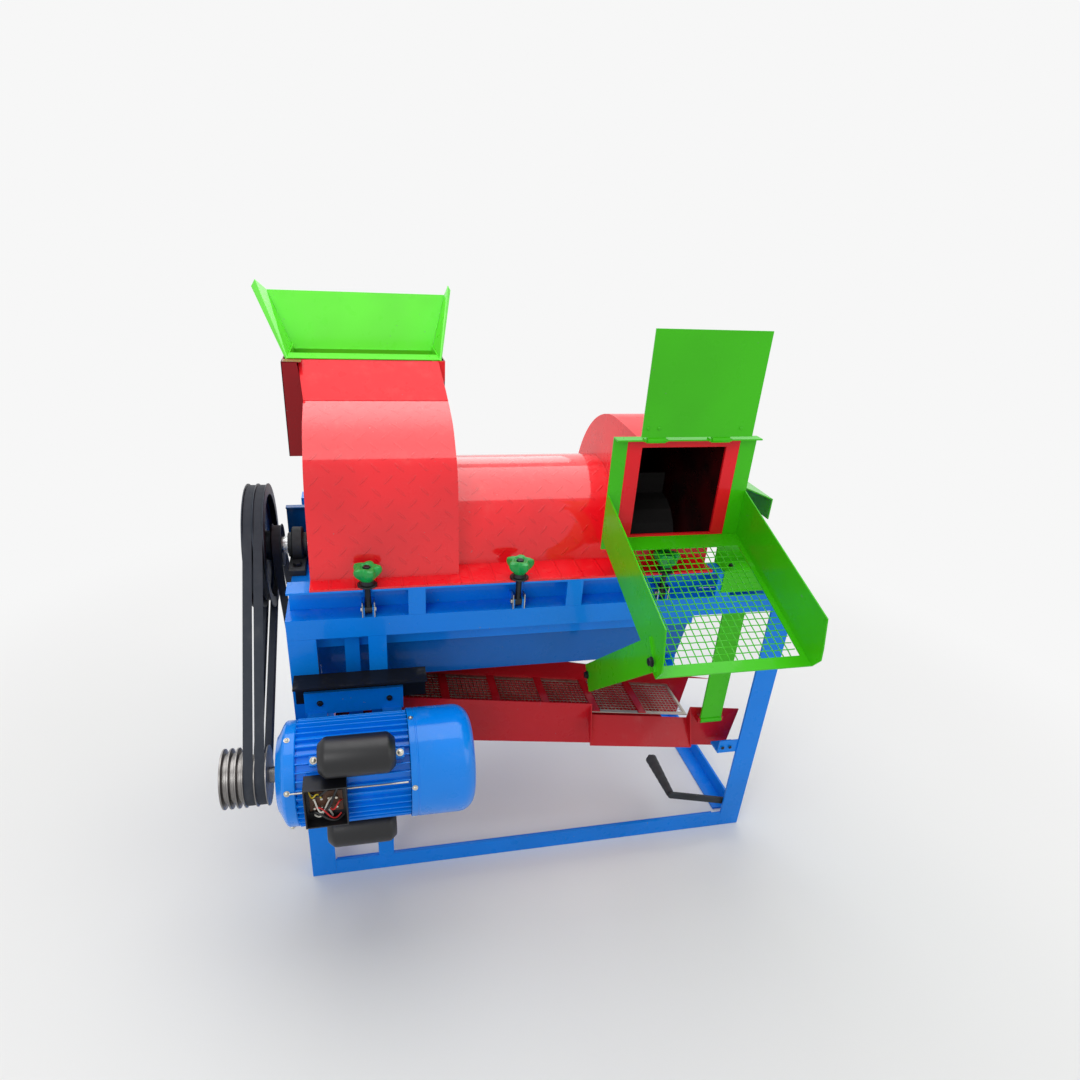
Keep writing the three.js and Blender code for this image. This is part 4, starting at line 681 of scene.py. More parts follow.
def plastic(name, base, roughness, grain=0.00002):
    """Moulded plastic: one colour, slightly mottled, with a fine even skin."""
    moulded = Finish(name, roughness=roughness)
    mottle = moulded.noise(60.0, 3.0)
    darker = colour(*(np.array(base) * 0.8))
    moulded.set(base_color=moulded.mix(colour(*base), darker, mottle.ramp(0.3, 0.9)),
                roughness=mottle * 0.15 + roughness)
    return moulded.bump(moulded.noise(900.0, 2.0), grain)


def rubber(name):
    """Belt rubber: near black, with dust in patches and a cloth grain."""
    soft = Finish(name, roughness=0.78)
    dust = soft.noise(30.0, 6.0, 0.7).ramp(0.5, 0.85) * 0.35
    soft.set(base_color=soft.mix(colour(*RUBBER), colour(*RUBBER_DUST), dust),
             roughness=soft.noise(120.0) * 0.2 + 0.68)
    return soft.bump(soft.noise(1400.0, 2.0), 0.00008)


print("rubber as light:", [round(part, 3) for part in colour(*RUBBER)[:3]])

# %% [markdown]
# ## A name for each finish
# Every finish is made once, with its colour and its numbers, and gets a name. All later cells
# ask for it by that name, so a colour is changed in one place only.

# %% All finishes
finishes.update({
    "bright_steel": turned_steel("bright_steel", (205, 206, 208)),
    "pulley_iron": turned_steel("pulley_iron", (52, 56, 64), roughness=0.4),
    "motor_pulley_steel": turned_steel("motor_pulley_steel", (150, 147, 145), roughness=0.34),
    "cast_iron": metal("cast_iron", (58, 62, 66), 0.55, 420.0, 0.00025, metallic=0.6),
    "screen_steel": metal("screen_steel", (186, 180, 168), 0.42, 300.0, 0.00005, rust=0.06),
    "grate_iron": metal("grate_iron", (84, 80, 76), 0.6, 300.0, 0.0001, metallic=0.7, rust=0.14),
    "drum_iron": metal("drum_iron", (34, 32, 32), 0.7, 300.0, 0.0001, metallic=0.2, rust=0.08),
    "zinc": metal("zinc", (206, 202, 190), 0.32, 90.0, 0.00003),
    "dark_bolt": metal("dark_bolt", (54, 56, 60), 0.42, 500.0, 0.00004, metallic=0.8),
    "belt_rubber": rubber("belt_rubber"),
    "knob_green": plastic("knob_green", (6, 160, 66), 0.3),
    "black_plastic": plastic("black_plastic", (12, 13, 17), 0.34),
    "grip_black": plastic("grip_black", (40, 42, 47), 0.55, 0.00006),
    "board_brown": plastic("board_brown", (78, 46, 26), 0.5),
    "wire_red": plastic("wire_red", (206, 26, 30), 0.4),
    "wire_yellow": plastic("wire_yellow", (222, 196, 40), 0.4),
    "wire_white": plastic("wire_white", (216, 214, 206), 0.4),
})


def finish(name):
    """The material of a finish, by its name."""
    return finishes[name].material


print("finishes:", len(finishes))

# %% [markdown]
# ## Paint the solids that keep their shape
# Angle iron and flat sheet are already right as solids, so their objects only change material.
# A node's mesh is never edited. The list below goes by node name, and whatever a later cell
# replaces is hidden there, so nothing can be missed.

# %% Assign finishes to the solids
by_finish = {
    "frame_blue": ["leg_front_left", "leg_front_right", "leg_back_left", "leg_back_right",
                   "top_rail_front", "top_rail_back", "top_rail_left", "top_rail_right",
                   "bottom_rail_front", "bottom_rail_back", "bottom_rail_right", "cross_rail_left",
                   "motor_post", "concave_side_front", "concave_side_back", "hanger_front_left",
                   "hanger_back_left", "hanger_back_right"],
    "sheet_blue": ["concave_end_left", "grain_funnel"],
    "cover_red": ["cover_feed_housing", "cover_middle_shell", "cover_discharge_housing", "feed_throat"],
    "tray_red": ["sieve_tray"],
    "chute_green": ["outlet_frame", "outlet_flap", "outlet_chute", "chute_mesh", "shaft_guard",
                    "hanger_front_right"],
    "hopper_green": ["hopper"],
    "motor_blue": ["motor_body", "motor_fan_cover"],
    "rail_black": ["motor_rail_upper", "motor_rail_lower"],
    "bright_steel": ["drum_shaft"],
    "motor_pulley_steel": ["motor_pulley"],
    "pulley_iron": ["drum_pulley", "shaker_shaft"],
    "cast_iron": ["bearing_left", "bearing_right", "shaker_bearing", "connecting_rod", "adjusting_lever"],
    "grate_iron": ["concave_grate"],
    "drum_iron": ["threshing_drum"],
    "screen_steel": ["sieve_screen"],
    "zinc": ["swing_bolt_1", "swing_bolt_2", "swing_bolt_3"],
    "belt_rubber": ["drive_belt_outer", "drive_belt_inner", "shaker_belt"],
    "knob_green": ["latch_knob_1", "latch_knob_2", "latch_knob_3"],
    "black_plastic": ["capacitor_upper", "capacitor_lower"],
    "grip_black": ["lever_grip"],
}
painted = 0
for finish_name, names in by_finish.items():
    for name in names:
        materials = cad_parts[name].data.materials
        materials.clear()
        materials.append(finish(finish_name))
        painted += 1
print("solids painted:", painted, "of", len(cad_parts))

# %% [markdown]
# ## Flanges and hinge barrels
# The cover is three rolled housings in a row, and each stands on two flat flanges. The front
# ones have open slots, into which the bolts swing, and the back ones carry the barrels of a long
# hinge. They are drawn by rule from the places of bolts and hinges, so all three housings can
# share the code.

# %% Flanges and hinge barrels
SEAT, FLANGE_TOP, FRAME_DEPTH = 701.3, 705.3, 500.0
LATCHES, HINGES = (145.0, 420.0, 707.0), (110.0, 470.0, 760.0)
SLOT, SLOT_DEPTH, BARREL, ROD_AT = 8, 16, 20, (508.5, 703.3)


def flange(x0, x1, inner, front):
    """A flat flange in X and Y, from the outer edge of the frame to the line y = inner. It has
    open slots for the latch bolts in front, or notches beside the hinge barrels at the back."""
    edge, places = (0.0, LATCHES) if front else (FRAME_DEPTH, HINGES)
    cuts = [(-SLOT, SLOT, SLOT_DEPTH)] if front else [(-28.7, -BARREL, -3), (BARREL, 28.7, -3)]
    outline = [(x0, edge)]
    for place in places:
        if x0 < place < x1:
            for a, b, depth in cuts:
                outline += [(place + a, edge), (place + a, edge + depth), (place + b, edge + depth),
                            (place + b, edge)]
    return prism(outline + [(x1, edge), (x1, inner), (x0, inner)], 2, SEAT, FLANGE_TOP)


def barrels(x0, x1):
    """Hinge barrels on the back flange, each a ring about the rod with a strip below it."""
    rings = []
    for place in HINGES:
        if x0 < place < x1:
            ring = rounded(place - BARREL, place + BARREL, 4.6, 8, 0.6, 0.4)
            rings.append(turned(ring, *ROD_AT, 32, closed=True))
            rings.append(bar(place - BARREL, place + BARREL, 496, 502.5, SEAT, FLANGE_TOP))
    return rings


def foot_flanges(x0, x1, front_inner, back_inner):
    """Both flanges of one housing, with its hinge barrels."""
    return [flange(x0, x1, front_inner, True), flange(x0, x1, back_inner, False)] + barrels(x0, x1)


print("flange with a slot:", len(flange(46, 312, 37, True)[0]), "points")

# %% [markdown]
# ## Curves of rolled sheet
# Each housing of the cover is a sheet rolled to an outline, and two of them have flat end walls.
# The outlines could be drawn with Blender's curve tools. Here they are worked out, so that the
# inner face is the outline moved by the thickness of the sheet, and the walls meet it exactly.

# %% Curves and end walls
DRUM_AT, SHELL_RADIUS, PASSAGE_FOOT = (250, 680), 176, 0.124


def smooth_curve(points, steps=10):
    """A smooth curve through all the points: between two of them, the cubic that leaves and
    arrives along the line joining their neighbours."""
    points = np.asarray(points, dtype=float)
    padded = np.vstack([points[0] * 2 - points[1], points, points[-1] * 2 - points[-2]])
    t = np.linspace(0, 1, steps, endpoint=False)[None, :, None]
    p0, p1, p2, p3 = (padded[k:len(padded) - 3 + k][:, None] for k in range(4))
    curve = 0.5 * (2 * p1 + (p2 - p0) * t + (2 * p0 - 5 * p1 + 4 * p2 - p3) * t ** 2
                   + (3 * p1 - p0 - 3 * p2 + p3) * t ** 3)
    return np.vstack([curve.reshape(-1, 2), points[-1:]])


def inset(curve, wall):
    """The curve moved square to itself, to its right side seen along it."""
    ahead = np.gradient(curve, axis=0)
    ahead /= np.linalg.norm(ahead, axis=1, keepdims=True)
    return curve + wall * np.stack([ahead[:, 1], -ahead[:, 0]], axis=1)


def end_wall(outline, low, high):
    """A flat wall under an outline that runs from front to back: a band between the outline
    and its foot line, with each foot straight below its point."""
    feet = np.stack([outline[:, 0], np.full(len(outline), SEAT)], axis=1)
    rising = outline[:, 1] > SEAT + 0.5
    return band(feet[rising], outline[rising], 0, low, high)


def passage(count):
    """The arch of the opening between two housings: the inner half circle of the middle shell."""
    return arc(*DRUM_AT, SHELL_RADIUS - WALL, math.pi - PASSAGE_FOOT, PASSAGE_FOOT, count)


print("the opening between two housings is", round(float(np.ptp(passage(9)[:, 0]))), "mm wide")

# %% [markdown]
# ## The rolled cover, feed end
# The feed housing is one sheet bent over the drum: nearly upright in front, a quick bend, then
# a long roof that rises slowly to the back. Its outline is a smooth curve through eleven points.
# The sheet is a band between that curve and its inner offset. The roof is open below the
# hopper, so the middle part of the sheet is only two narrow strips beside the opening.

# %% Feed housing
FEED_LEFT, FEED_RIGHT, FEED_FRONT, FEED_DEPTH, FEED_RISE = 46, 312, 34, 430, 308
HOLE_FRONT, HOLE_BACK, STRIP = 320, 446, 14
shares = np.array([(0, 0), (.005, .02), (.03, .22), (.058, .458), (.105, .62), (.165, .711), (.265, .821),
                   (.444, .909), (.64, .974), (.898, 1.0), (1.0, 1.0)])
feed_curve = smooth_curve(shares * (FEED_DEPTH, FEED_RISE) + (FEED_FRONT, SEAT))
feed_curve[:, 1] = np.minimum(feed_curve[:, 1], SEAT + FEED_RISE)
feed_inner = inset(feed_curve, WALL)
hole_front, hole_back = np.searchsorted(feed_curve[:, 0], (HOLE_FRONT, HOLE_BACK))
lengths = [(0, hole_front + 1, FEED_LEFT, FEED_RIGHT), (hole_back, None, FEED_LEFT, FEED_RIGHT),
           (hole_front, hole_back + 1, FEED_LEFT, FEED_LEFT + STRIP),
           (hole_front, hole_back + 1, FEED_RIGHT - STRIP, FEED_RIGHT)]
feed_skins = [band(feed_inner[a:b], feed_curve[a:b], 0, low, high) for a, b, low, high in lengths]
wall_back = FEED_FRONT + FEED_DEPTH
wall_front, wall_top = wall_back - WALL, SEAT + FEED_RISE
feed_skins.append(bar(FEED_LEFT, FEED_RIGHT, wall_front, wall_back, SEAT, wall_top - 2))
feed_skins.append(end_wall(feed_inner, FEED_LEFT, FEED_LEFT + WALL))
feed_outline = np.vstack([feed_inner, [(wall_front, wall_top - WALL), (wall_front, SEAT)]])
feed_skins.append(band(passage(len(feed_outline)), feed_outline, 0, FEED_RIGHT - WALL, FEED_RIGHT))
feed_skins += foot_flanges(FEED_LEFT, FEED_RIGHT, 37, 462)
piece("feed_housing_sheet", feed_skins, finish("tread_red"), "cover", ["cover_feed_housing"])

# %% [markdown]
# ## The rolled cover, middle
# Over the long part of the drum the sheet is a plain half cylinder that stands on two flat
# flanges. A half ring carried along X is the whole shape.

# %% Middle shell
SHELL_LEFT, SHELL_RIGHT = 312.3, 633.7
foot_angle = math.asin((SEAT - DRUM_AT[1]) / SHELL_RADIUS)
inner_arc, outer_arc = (arc(*DRUM_AT, radius, math.pi - foot_angle, foot_angle, 72)
                        for radius in (SHELL_RADIUS - WALL, SHELL_RADIUS))
middle_skins = [band(inner_arc, outer_arc, 0, SHELL_LEFT, SHELL_RIGHT)]
middle_skins += foot_flanges(SHELL_LEFT, SHELL_RIGHT, 77, 423)
piece("middle_shell_sheet", middle_skins, finish("tread_red"), "cover", ["cover_middle_shell"])

# %% [markdown]
# ## The rolled cover, discharge end
# Four paddles on the drum throw the straw out to the front, so this housing has an upright
# front wall with a large square opening in a flat rim, and a scroll that leads the straw round
# to it: a short rise, then a quarter circle down to the back flange.

# %% Discharge housing
scroll = np.vstack([[(HOUSE_FRONT, SEAT), (HOUSE_FRONT, 940), (HOUSE_FRONT, ROOF_FRONT)],
                    smooth_curve([(HOUSE_FRONT, ROOF_FRONT), (104, 958.6), (174, 960)], 8),
                    arc(*SCROLL_AT, SCROLL_RADIUS, math.pi / 2, 0, 60)[1:], [(406, SEAT)]])
scroll = scroll[np.r_[True, np.linalg.norm(np.diff(scroll, axis=0), axis=1) > 0.01]]
scroll_inner = inset(scroll, WALL)
roof = scroll[:, 1] > ROOF_FRONT - 0.1
roof |= np.arange(len(scroll)) > np.argmax(roof)
opening = rectangle(HOUSE_LEFT + WALL, HOUSE_RIGHT - WALL, 772, 943)
front_wall = rectangle(HOUSE_LEFT, HOUSE_RIGHT, SEAT, ROOF_FRONT)
discharge_skins = [band(scroll_inner[roof], scroll[roof], 0, HOUSE_LEFT, HOUSE_RIGHT),
                   end_wall(scroll_inner, HOUSE_RIGHT - WALL, HOUSE_RIGHT),
                   band(passage(len(scroll_inner)), scroll_inner, 0, HOUSE_LEFT, HOUSE_LEFT + WALL),
                   band(opening, front_wall, 1, HOUSE_FRONT, HOUSE_FRONT + WALL, closed=True),
                   band(opening, rectangle(609, 827, 758, 956), 1, 33, 36.2, closed=True)]
discharge_skins += foot_flanges(HOUSE_LEFT, HOUSE_RIGHT, 39, 403)
piece("discharge_housing_sheet", discharge_skins, finish("cover_red"), "cover", ["cover_discharge_housing"])

# %% [markdown]
# ## Feed throat
# Behind the bend of the roof a sloping apron rises to the lip of the hopper, and sheet walls
# on both sides and behind close the throat. The walls are painted a darker red as painted shade,
# and the apron keeps the red of the cover. All of these are flat plates on a few corners, so the
# corners are the whole drawing. Plates that meet take their shared heights from the same values.

# %% Throat
throat_low, throat_high = node_box("feed_throat")
x_in, x_out, z_in, z_out = throat_low[0], throat_high[0], throat_low[2], throat_high[2]
THROAT_FRONT, THROAT_BACK, LIP_Y, LIP = 270, 500, 299, z_out + 0.3
# The throat walls are painted a dark red as painted shade, standing in for the shade of the inner corner.
shaded = [bar(x_in, x_in + 2, THROAT_FRONT, THROAT_BACK, z_in, z_out),
          bar(x_out - 2, x_out, LIP_Y + 1, THROAT_BACK, z_in, z_out),
          bar(x_in, x_out, THROAT_BACK - 2, THROAT_BACK, z_in, z_out),
          bar(x_in, 44, THROAT_FRONT, LIP_Y, z_out - 1.5, z_out),
          prism([(x_in, z_in), (45.7, z_in), (45.7, 988), (39.4, 1016), (36, z_out), (x_in, z_out)],
                1, THROAT_FRONT, THROAT_FRONT + 2)]
piece("throat_walls", shaded, finish("throat_painted_shade"), "cover", ["feed_throat"], bevel=0.4)

BEND, RISE, CHEEK = (221.0, 980.8), (LIP_Y, LIP - 0.8), (LIP_Y, 1000.5)
apron = [plate([(FEED_LEFT, *BEND), (FEED_RIGHT, *BEND), (301, *RISE), (36, *RISE)], -2),
         plate([(301, 298, RISE[1]), (x_out, 298, RISE[1]), (x_out, 298, 1000), (301, 298, 1000)], 2),
         plate([(311.9, *BEND), (311.9, *CHEEK), (301.5, *RISE)], -1.5),
         plate([(46.1, *BEND), (46.1, *CHEEK), (36.5, *RISE)], 1.5)]
piece("throat_apron", apron, finish("cover_red"), "cover", bevel=0.4)

# %% [markdown]
# ## Hopper
# The hopper is folded from flat sheet, and the machine is fed over its level lip. A back wall
# leans out, and the narrow rims of the two side walls are turned down, so that no cut edge meets
# a hand. Each side wall is two triangles, because its four corners don't lie in one plane.

# %% Hopper
x0, x1 = x_in + 10, x_out - 10
FOOT_Y, FOOT_Z, RIM_Y, RIM_Z = 468.0, 1030.0, 550.0, 1136.0
lip = {"left": (x0, LIP_Y, LIP), "right": (x1, LIP_Y, LIP)}
foot = {"left": (x0, FOOT_Y, FOOT_Z), "right": (x1, FOOT_Y, FOOT_Z)}
rim = {"left": (-34, RIM_Y, RIM_Z), "right": (341, RIM_Y, RIM_Z)}
tip = {"left": (-56, 552, 1155), "right": (350, 552, 1155)}
hopper = [bar(x0, x1, LIP_Y, 352, LIP, LIP + 2), bar(x0, x1, FOOT_Y - 2, FOOT_Y, 1011, FOOT_Z + 1),
          bar(x0, x1, 481, THROAT_BACK, LIP, LIP + 2),
          plate([foot["left"], foot["right"], rim["right"], rim["left"]], -2)]
for side, out, fold in (("left", -1, 9), ("right", 1, 6)):
    a, b, c, d = (np.array(corner[side], dtype=float) for corner in (lip, foot, rim, tip))
    hopper += [plate([a, b, c], 2 * out), plate([a, c, d], 2 * out),
               bar(*sorted((a[0], a[0] + 2 * out)), LIP_Y, FOOT_Y, FOOT_Z - 18, LIP + 1),
               plate([a, d, d + (out * fold, 0, -fold * 1.6), a + (out * 3, 0, -3)], 2 * out)]
piece("hopper_folded", hopper, finish("hopper_green"), "cover", ["hopper"], bevel=0.5)

# %% [markdown]
# ## The screen beside the cover
# Right of the cover, below the chute, a folded sheet stands in front of the shaft. It sits
# astride the side channel: a lip in front, a foot on top, where two bolts hold it, and an
# upright wall behind. One bent line and its offset make the whole sheet.

# %% Shaft screen
SCREEN_LEFT, SCREEN_RIGHT, SCREEN_GAP, SCREEN_SHEET = 829.5, 925.0, 0.3, 2.0
channel_low, channel_high = node_box("concave_side_front")
at_front, at_back = channel_low[1] - SCREEN_GAP, channel_high[1] + SCREEN_GAP
on_top = channel_high[2] + SCREEN_GAP
lip_low, wall_high = on_top - 46, on_top + 42
screen_inner = [(at_front, lip_low), (at_front, on_top), (at_back + SCREEN_SHEET, on_top),
                (at_back + SCREEN_SHEET, wall_high)]
screen_outer = [(at_front - SCREEN_SHEET, lip_low), (at_front - SCREEN_SHEET, on_top + SCREEN_SHEET),
                (at_back, on_top + SCREEN_SHEET), (at_back, wall_high)]
piece("shaft_screen", [band(screen_inner, screen_outer, 0, SCREEN_LEFT, SCREEN_RIGHT)], finish("chute_green"),
      "frame", bevel=0.4)

# %% [markdown]
# ## Pulleys from the lathe
# A pulley is one closed profile turned about its shaft: rim, grooves with slanted flanks for
# the belt, a thin web and a hub. Slanted flanks are what makes it a V-belt pulley, and they
# show wherever a groove is empty.

# %% Grooved rims
MOTOR_AT, SHAKER_AT = (-108, 397), (425, 275)
RIM, GROOVE, LAND, GROOVE_DEPTH = -80.0, 16.4, 2.6, 14
RIM_END = RIM + 2 * (GROOVE + LAND) + LAND
STEP_LAND = (17 - GROOVE * 0.75) / 2
STEP_END = RIM_END + GROOVE + 2 * STEP_LAND


def vee_rim(x0, count, width, land, radius, depth):
    """Rim points (x, r): flat lands and grooves whose flanks lean in by a fifth of the width."""
    points = []
    for k in range(count):
        x = x0 + k * (width + land)
        lean = width * 0.2
        points += [(x, radius - 0.6), (x + 0.5, radius), (x + land - 0.3, radius), (x + land, radius - 0.5),
                   (x + land + lean, radius - depth), (x + land + width - lean, radius - depth),
                   (x + land + width, radius - 0.5)]
    end = x0 + count * (width + land)
    return points + [(end, radius - 0.5), (end + 0.3, radius), (end + land - 0.5, radius),
                     (end + land, radius - 0.6)]


def wide_rim(radius):
    """The two grooves of the driving belts."""
    return vee_rim(RIM, 2, GROOVE, LAND, radius, GROOVE_DEPTH)


def step_rim(radius):
    """The single groove of the shaker belt, beside the other two."""
    return vee_rim(RIM_END, 1, GROOVE, STEP_LAND, radius, GROOVE_DEPTH)


print("the rim of the driving belts is", round(RIM_END - RIM, 1), "mm wide")

# %% [markdown]
# ## Pulleys of drum and motor
# The pulley on the drum carries three belts, two from the motor on its rim and the shaker's on a
# small step. Its profile closes on itself round the bore. The motor's pulley has three narrow
# grooves that stay free, and its profile starts and ends on the axis.

# %% Pulleys
web = RIM + (RIM_END - RIM - 14) / 2
drum_profile = ([(-95.7, 17.6), (-95.7, 29), (-94.7, 30), (web - 2, 30), (web, 32), (web, 102),
                 (web - 2, 104), (RIM, 104)] + wide_rim(125)
                + [(RIM_END, 104), (web + 16, 104), (web + 14, 102), (web + 14, 32), (web + 16, 30),
                   (RIM_END, 30), (RIM_END, 42.4)] + step_rim(43)[2:-1]
                + [(STEP_END, 42.4), (STEP_END, 17.6)])
piece("drum_pulley_turned", [turned(drum_profile, *DRUM_AT, 120, closed=True)], finish("pulley_iron"), "drum",
      ["drum_pulley"])

free = RIM - 3 * 12.2
motor_profile = ([(free + 5, 0), (free + 5, 11), (free + 2, 12), (free + 2, 21), (free + 5, 23),
                  (free + 5, 41), (free, 43), (free, 50)] + vee_rim(free, 3, 9, 3.2, 52, 9)[:-2]
                 + wide_rim(52) + [(RIM_END, 34), (RIM_END, 14), (-12, 14), (-12, 0)])
piece("motor_pulley_turned", [turned(motor_profile, *MOTOR_AT, 96)], finish("motor_pulley_steel"),
      "motor_rotor", ["motor_pulley"])

# %% [markdown]
# ## The two shafts
# The drum turns on a plain bar of bright steel. The shaker's shaft has its own pulley, and near
# its other end an eccentric, a disc that stands off the axis and so pushes the tray to and fro.
# Shaft and disc are two skins in one mesh, because they turn as one.

# %% Shafts
piece("drum_shaft_turned", [turned(rounded(-96, 1005.4, 0, 17.5, 1.5), *DRUM_AT, 48)], finish("bright_steel"),
      "drum", ["drum_shaft"])

ECCENTRIC_THROW = 6
shaker_profile = ([(RIM_END, 0), (RIM_END, 66)] + step_rim(80)
                  + [(STEP_END, 24), (STEP_END + 13, 24), (STEP_END + 14, 23), (STEP_END + 14, 12), (169, 12),
                     (170, 11), (170, 0)])
eccentric = turned(rounded(150, 166, 0, 22, 0.6), SHAKER_AT[0], SHAKER_AT[1] + ECCENTRIC_THROW, 64)
piece("shaker_shaft_turned", [turned(shaker_profile, *SHAKER_AT, 96), eccentric], finish("pulley_iron"),
      "shaker", ["shaker_shaft"])

# %% [markdown]
# ## Belts
# A V-belt is a trapezium carried round a loop of two arcs and two straight runs. The arcs
# follow from the two radii and the distance between the shafts: the belt leaves each pulley
# where its line just touches both circles.

# %% V-belts
CLEAR, BELT_WIDTH, BELT_THICK = 0.1, 16.2, 10.6


def belt_loop(a, ra, b, rb, steps=48):
    """Points and outward directions round two circles: each arc spans the part of its circle
    beyond the two tangent points, which lie at acos((ra - rb) / distance) from the line a-b."""
    a, b = np.array(a, dtype=float), np.array(b, dtype=float)
    way = math.atan2(*(b - a)[::-1])
    lean = math.acos((ra - rb) / np.linalg.norm(b - a))
    angle = np.concatenate([np.linspace(way + lean, way + 2 * math.pi - lean, steps),
                            np.linspace(way - lean, way + lean, steps)])
    centre = np.repeat([a, b], steps, axis=0)
    out = np.stack([np.cos(angle), np.sin(angle)], axis=1)
    return centre + out * np.repeat([ra, rb], steps)[:, None], out


def belt(x0, a, ra, b, rb):
    """The V section carried round the loop: narrow inside, wide outside, with a flat edge."""
    line, out = belt_loop(a, ra + 0.6, b, rb + 0.6)
    section = [(0.18, 0.0), (0.82, 0.0), (1.0, BELT_THICK - 2), (1.0, BELT_THICK), (0.0, BELT_THICK),
               (0.0, BELT_THICK - 2)]
    points = np.zeros((len(line), len(section), 3))
    for column, (share, rise) in enumerate(section):
        points[:, column, 0] = x0 + share * BELT_WIDTH
        points[:, column, 1:] = line + out * rise
    return skin(points, wrap_rows=True, wrap_columns=True)


for name, node, x0 in (("belt_outer_vee", "drive_belt_outer", RIM + LAND + CLEAR),
                       ("belt_inner_vee", "drive_belt_inner", RIM + LAND + CLEAR + GROOVE + LAND)):
    piece(name, [belt(x0, DRUM_AT, 111, MOTOR_AT, 38)], finish("belt_rubber"), "frame", [node])
shaker_loop = belt(RIM_END + STEP_LAND + CLEAR, DRUM_AT, 29, SHAKER_AT, 66)
piece("belt_shaker_vee", [shaker_loop], finish("belt_rubber"), "frame", ["shaker_belt"])

# %% [markdown]
# ## The motor
# A small single-phase motor: a finned housing with two end shields, a domed cover over its
# cooling fan, two capacitors in round cans, and an open terminal box with its leads. Fins are
# one short section turned into place many times by an array of angles.

# %% Motor housing
FINS, FIN_THICK, FIN_ROOT, FIN_TIP = 40, 2.6, 82, 93.6
HOUSING_END, COVER_START, COVER_END = 203, 203.3, 319.0
RAIL_FACE, FOOT_FACE = -4.6, -11.6
AXIS_Y, AXIS_Z = MOTOR_AT


def fins(x0, x1):
    """Straight fins: a tapered section (r, t) carried along X and turned to each angle."""
    section = np.array([(FIN_ROOT, -FIN_THICK * 0.65), (FIN_TIP - 0.8, -FIN_THICK * 0.4), (FIN_TIP, 0),
                        (FIN_TIP - 0.8, FIN_THICK * 0.4), (FIN_ROOT, FIN_THICK * 0.65)])
    skins = []
    for angle in (np.arange(FINS) + 0.5) * 2 * np.pi / FINS:
        out, side = np.array([(math.cos(angle), math.sin(angle)), (-math.sin(angle), math.cos(angle))])
        skins.append(prism(section[:, :1] * out + section[:, 1:] * side + MOTOR_AT, 0, x0, x1))
    return skins


core = [(-24, 0), (-24, 40), (-23, 66), (-20, 70), (-12, 86), (-9, 90), (-6, 92), (10, 92), (12, 90),
        (12, 85), (HOUSING_END, 85), (HOUSING_END, 0)]
motor_skins = [turned(core, *MOTOR_AT, 96)] + fins(12, HOUSING_END)
for side in (1, -1):
    foot_z = sorted((AXIS_Z + side * 49, AXIS_Z + side * 98))
    web_z = sorted((AXIS_Z + side * 29.4, AXIS_Z + side * 53))
    motor_skins += [bar(20, 202, FOOT_FACE, RAIL_FACE, *foot_z),
                    bar(24, 60, AXIS_Y + 21, RAIL_FACE, *web_z),
                    bar(162, 198, AXIS_Y + 21, RAIL_FACE, *web_z)]
motor_skins.append(bar(30, 92, -196, -152, 377, 453))
piece("motor_housing_cast", motor_skins, finish("motor_blue"), "frame", ["motor_body"],
      bevel=0.5)

# %% [markdown]
# ## The fan cover
# The cover over the fan is spun from sheet: a shallow groove near its mouth, a straight wall, a
# quarter round and a flat end. So its profile is an outer line, a dome and a nose, and the
# inner line back to the mouth is turned as a second skin.

# %% Fan cover
dome_angle = np.linspace(0, math.pi / 2, 18)
dome = np.stack([288 + 31 * np.sin(dome_angle), 66 + 31 * np.cos(dome_angle)], axis=1)
nose = np.stack([np.full(13, COVER_END), np.linspace(61, 0, 13)], axis=1)
cover_profile = np.vstack([[(COVER_START, 94.5), (COVER_START, 96.2), (204.4, 97), (214, 97), (215, 96.2),
                            (217, 96.2), (218, 97)], dome, nose, [(316.5, 0), (316.5, 64), (288, 94.5)]])
piece("fan_cover_spun", [turned(cover_profile, *MOTOR_AT, 96),
                         turned([(COVER_START, 94.5), (288, 94.5)], *MOTOR_AT, 96)],
      finish("motor_blue"), "frame", ["motor_fan_cover"])

# %% [markdown]
# ## Terminal box
# The lid of the terminal box is off. In the black box lie a small board with metal posts and
# the leads of the winding, pushed in as short loops. Each lead is a tube along a curve with both
# ends on a post or on the floor of the box, so nothing hangs free.

# %% Terminal box and its wiring
BOX_X, BOX_Y, BOX_Z, BOX_WALL = (26.0, 96.0), (-222.0, -186.0), (373.0, 457.0), 2.5
inside = rectangle(BOX_X[0] + BOX_WALL, BOX_X[1] - BOX_WALL, BOX_Z[0] + BOX_WALL, BOX_Z[1] - BOX_WALL)
box_skins = [band(inside, rectangle(*BOX_X, *BOX_Z), 1, *BOX_Y, closed=True),
             bar(27, 95, -203, -186.2, 374, 456)]
piece("terminal_box_moulded", box_skins, finish("black_plastic"), "frame", bevel=0.6)
piece("terminal_board", [bar(34, 88, -206, -203, 394, 438)], finish("board_brown"), "frame",
      bevel=0.3)
post = [(-206, 0), (-206, 2.8), (-210, 2.8), (-211, 2.2), (-211, 0)]
piece("terminal_posts", [facing(post, x, z, 12) for x in (42, 54, 66, 78) for z in (406, 426)],
      finish("zinc"), "frame")


def lead(start, end, rise, sway, count=24):
    """A loop of wire between two places: straight interpolation plus a half sine of height
    rise towards the front and a full sine of width sway along Z."""
    t = np.linspace(0, 1, count)[:, None]
    path = np.array(start) * (1 - t) + np.array(end) * t
    path[:, 1:2] -= rise * np.sin(np.pi * t)
    path[:, 2:3] += sway * np.sin(2 * np.pi * t)
    return path


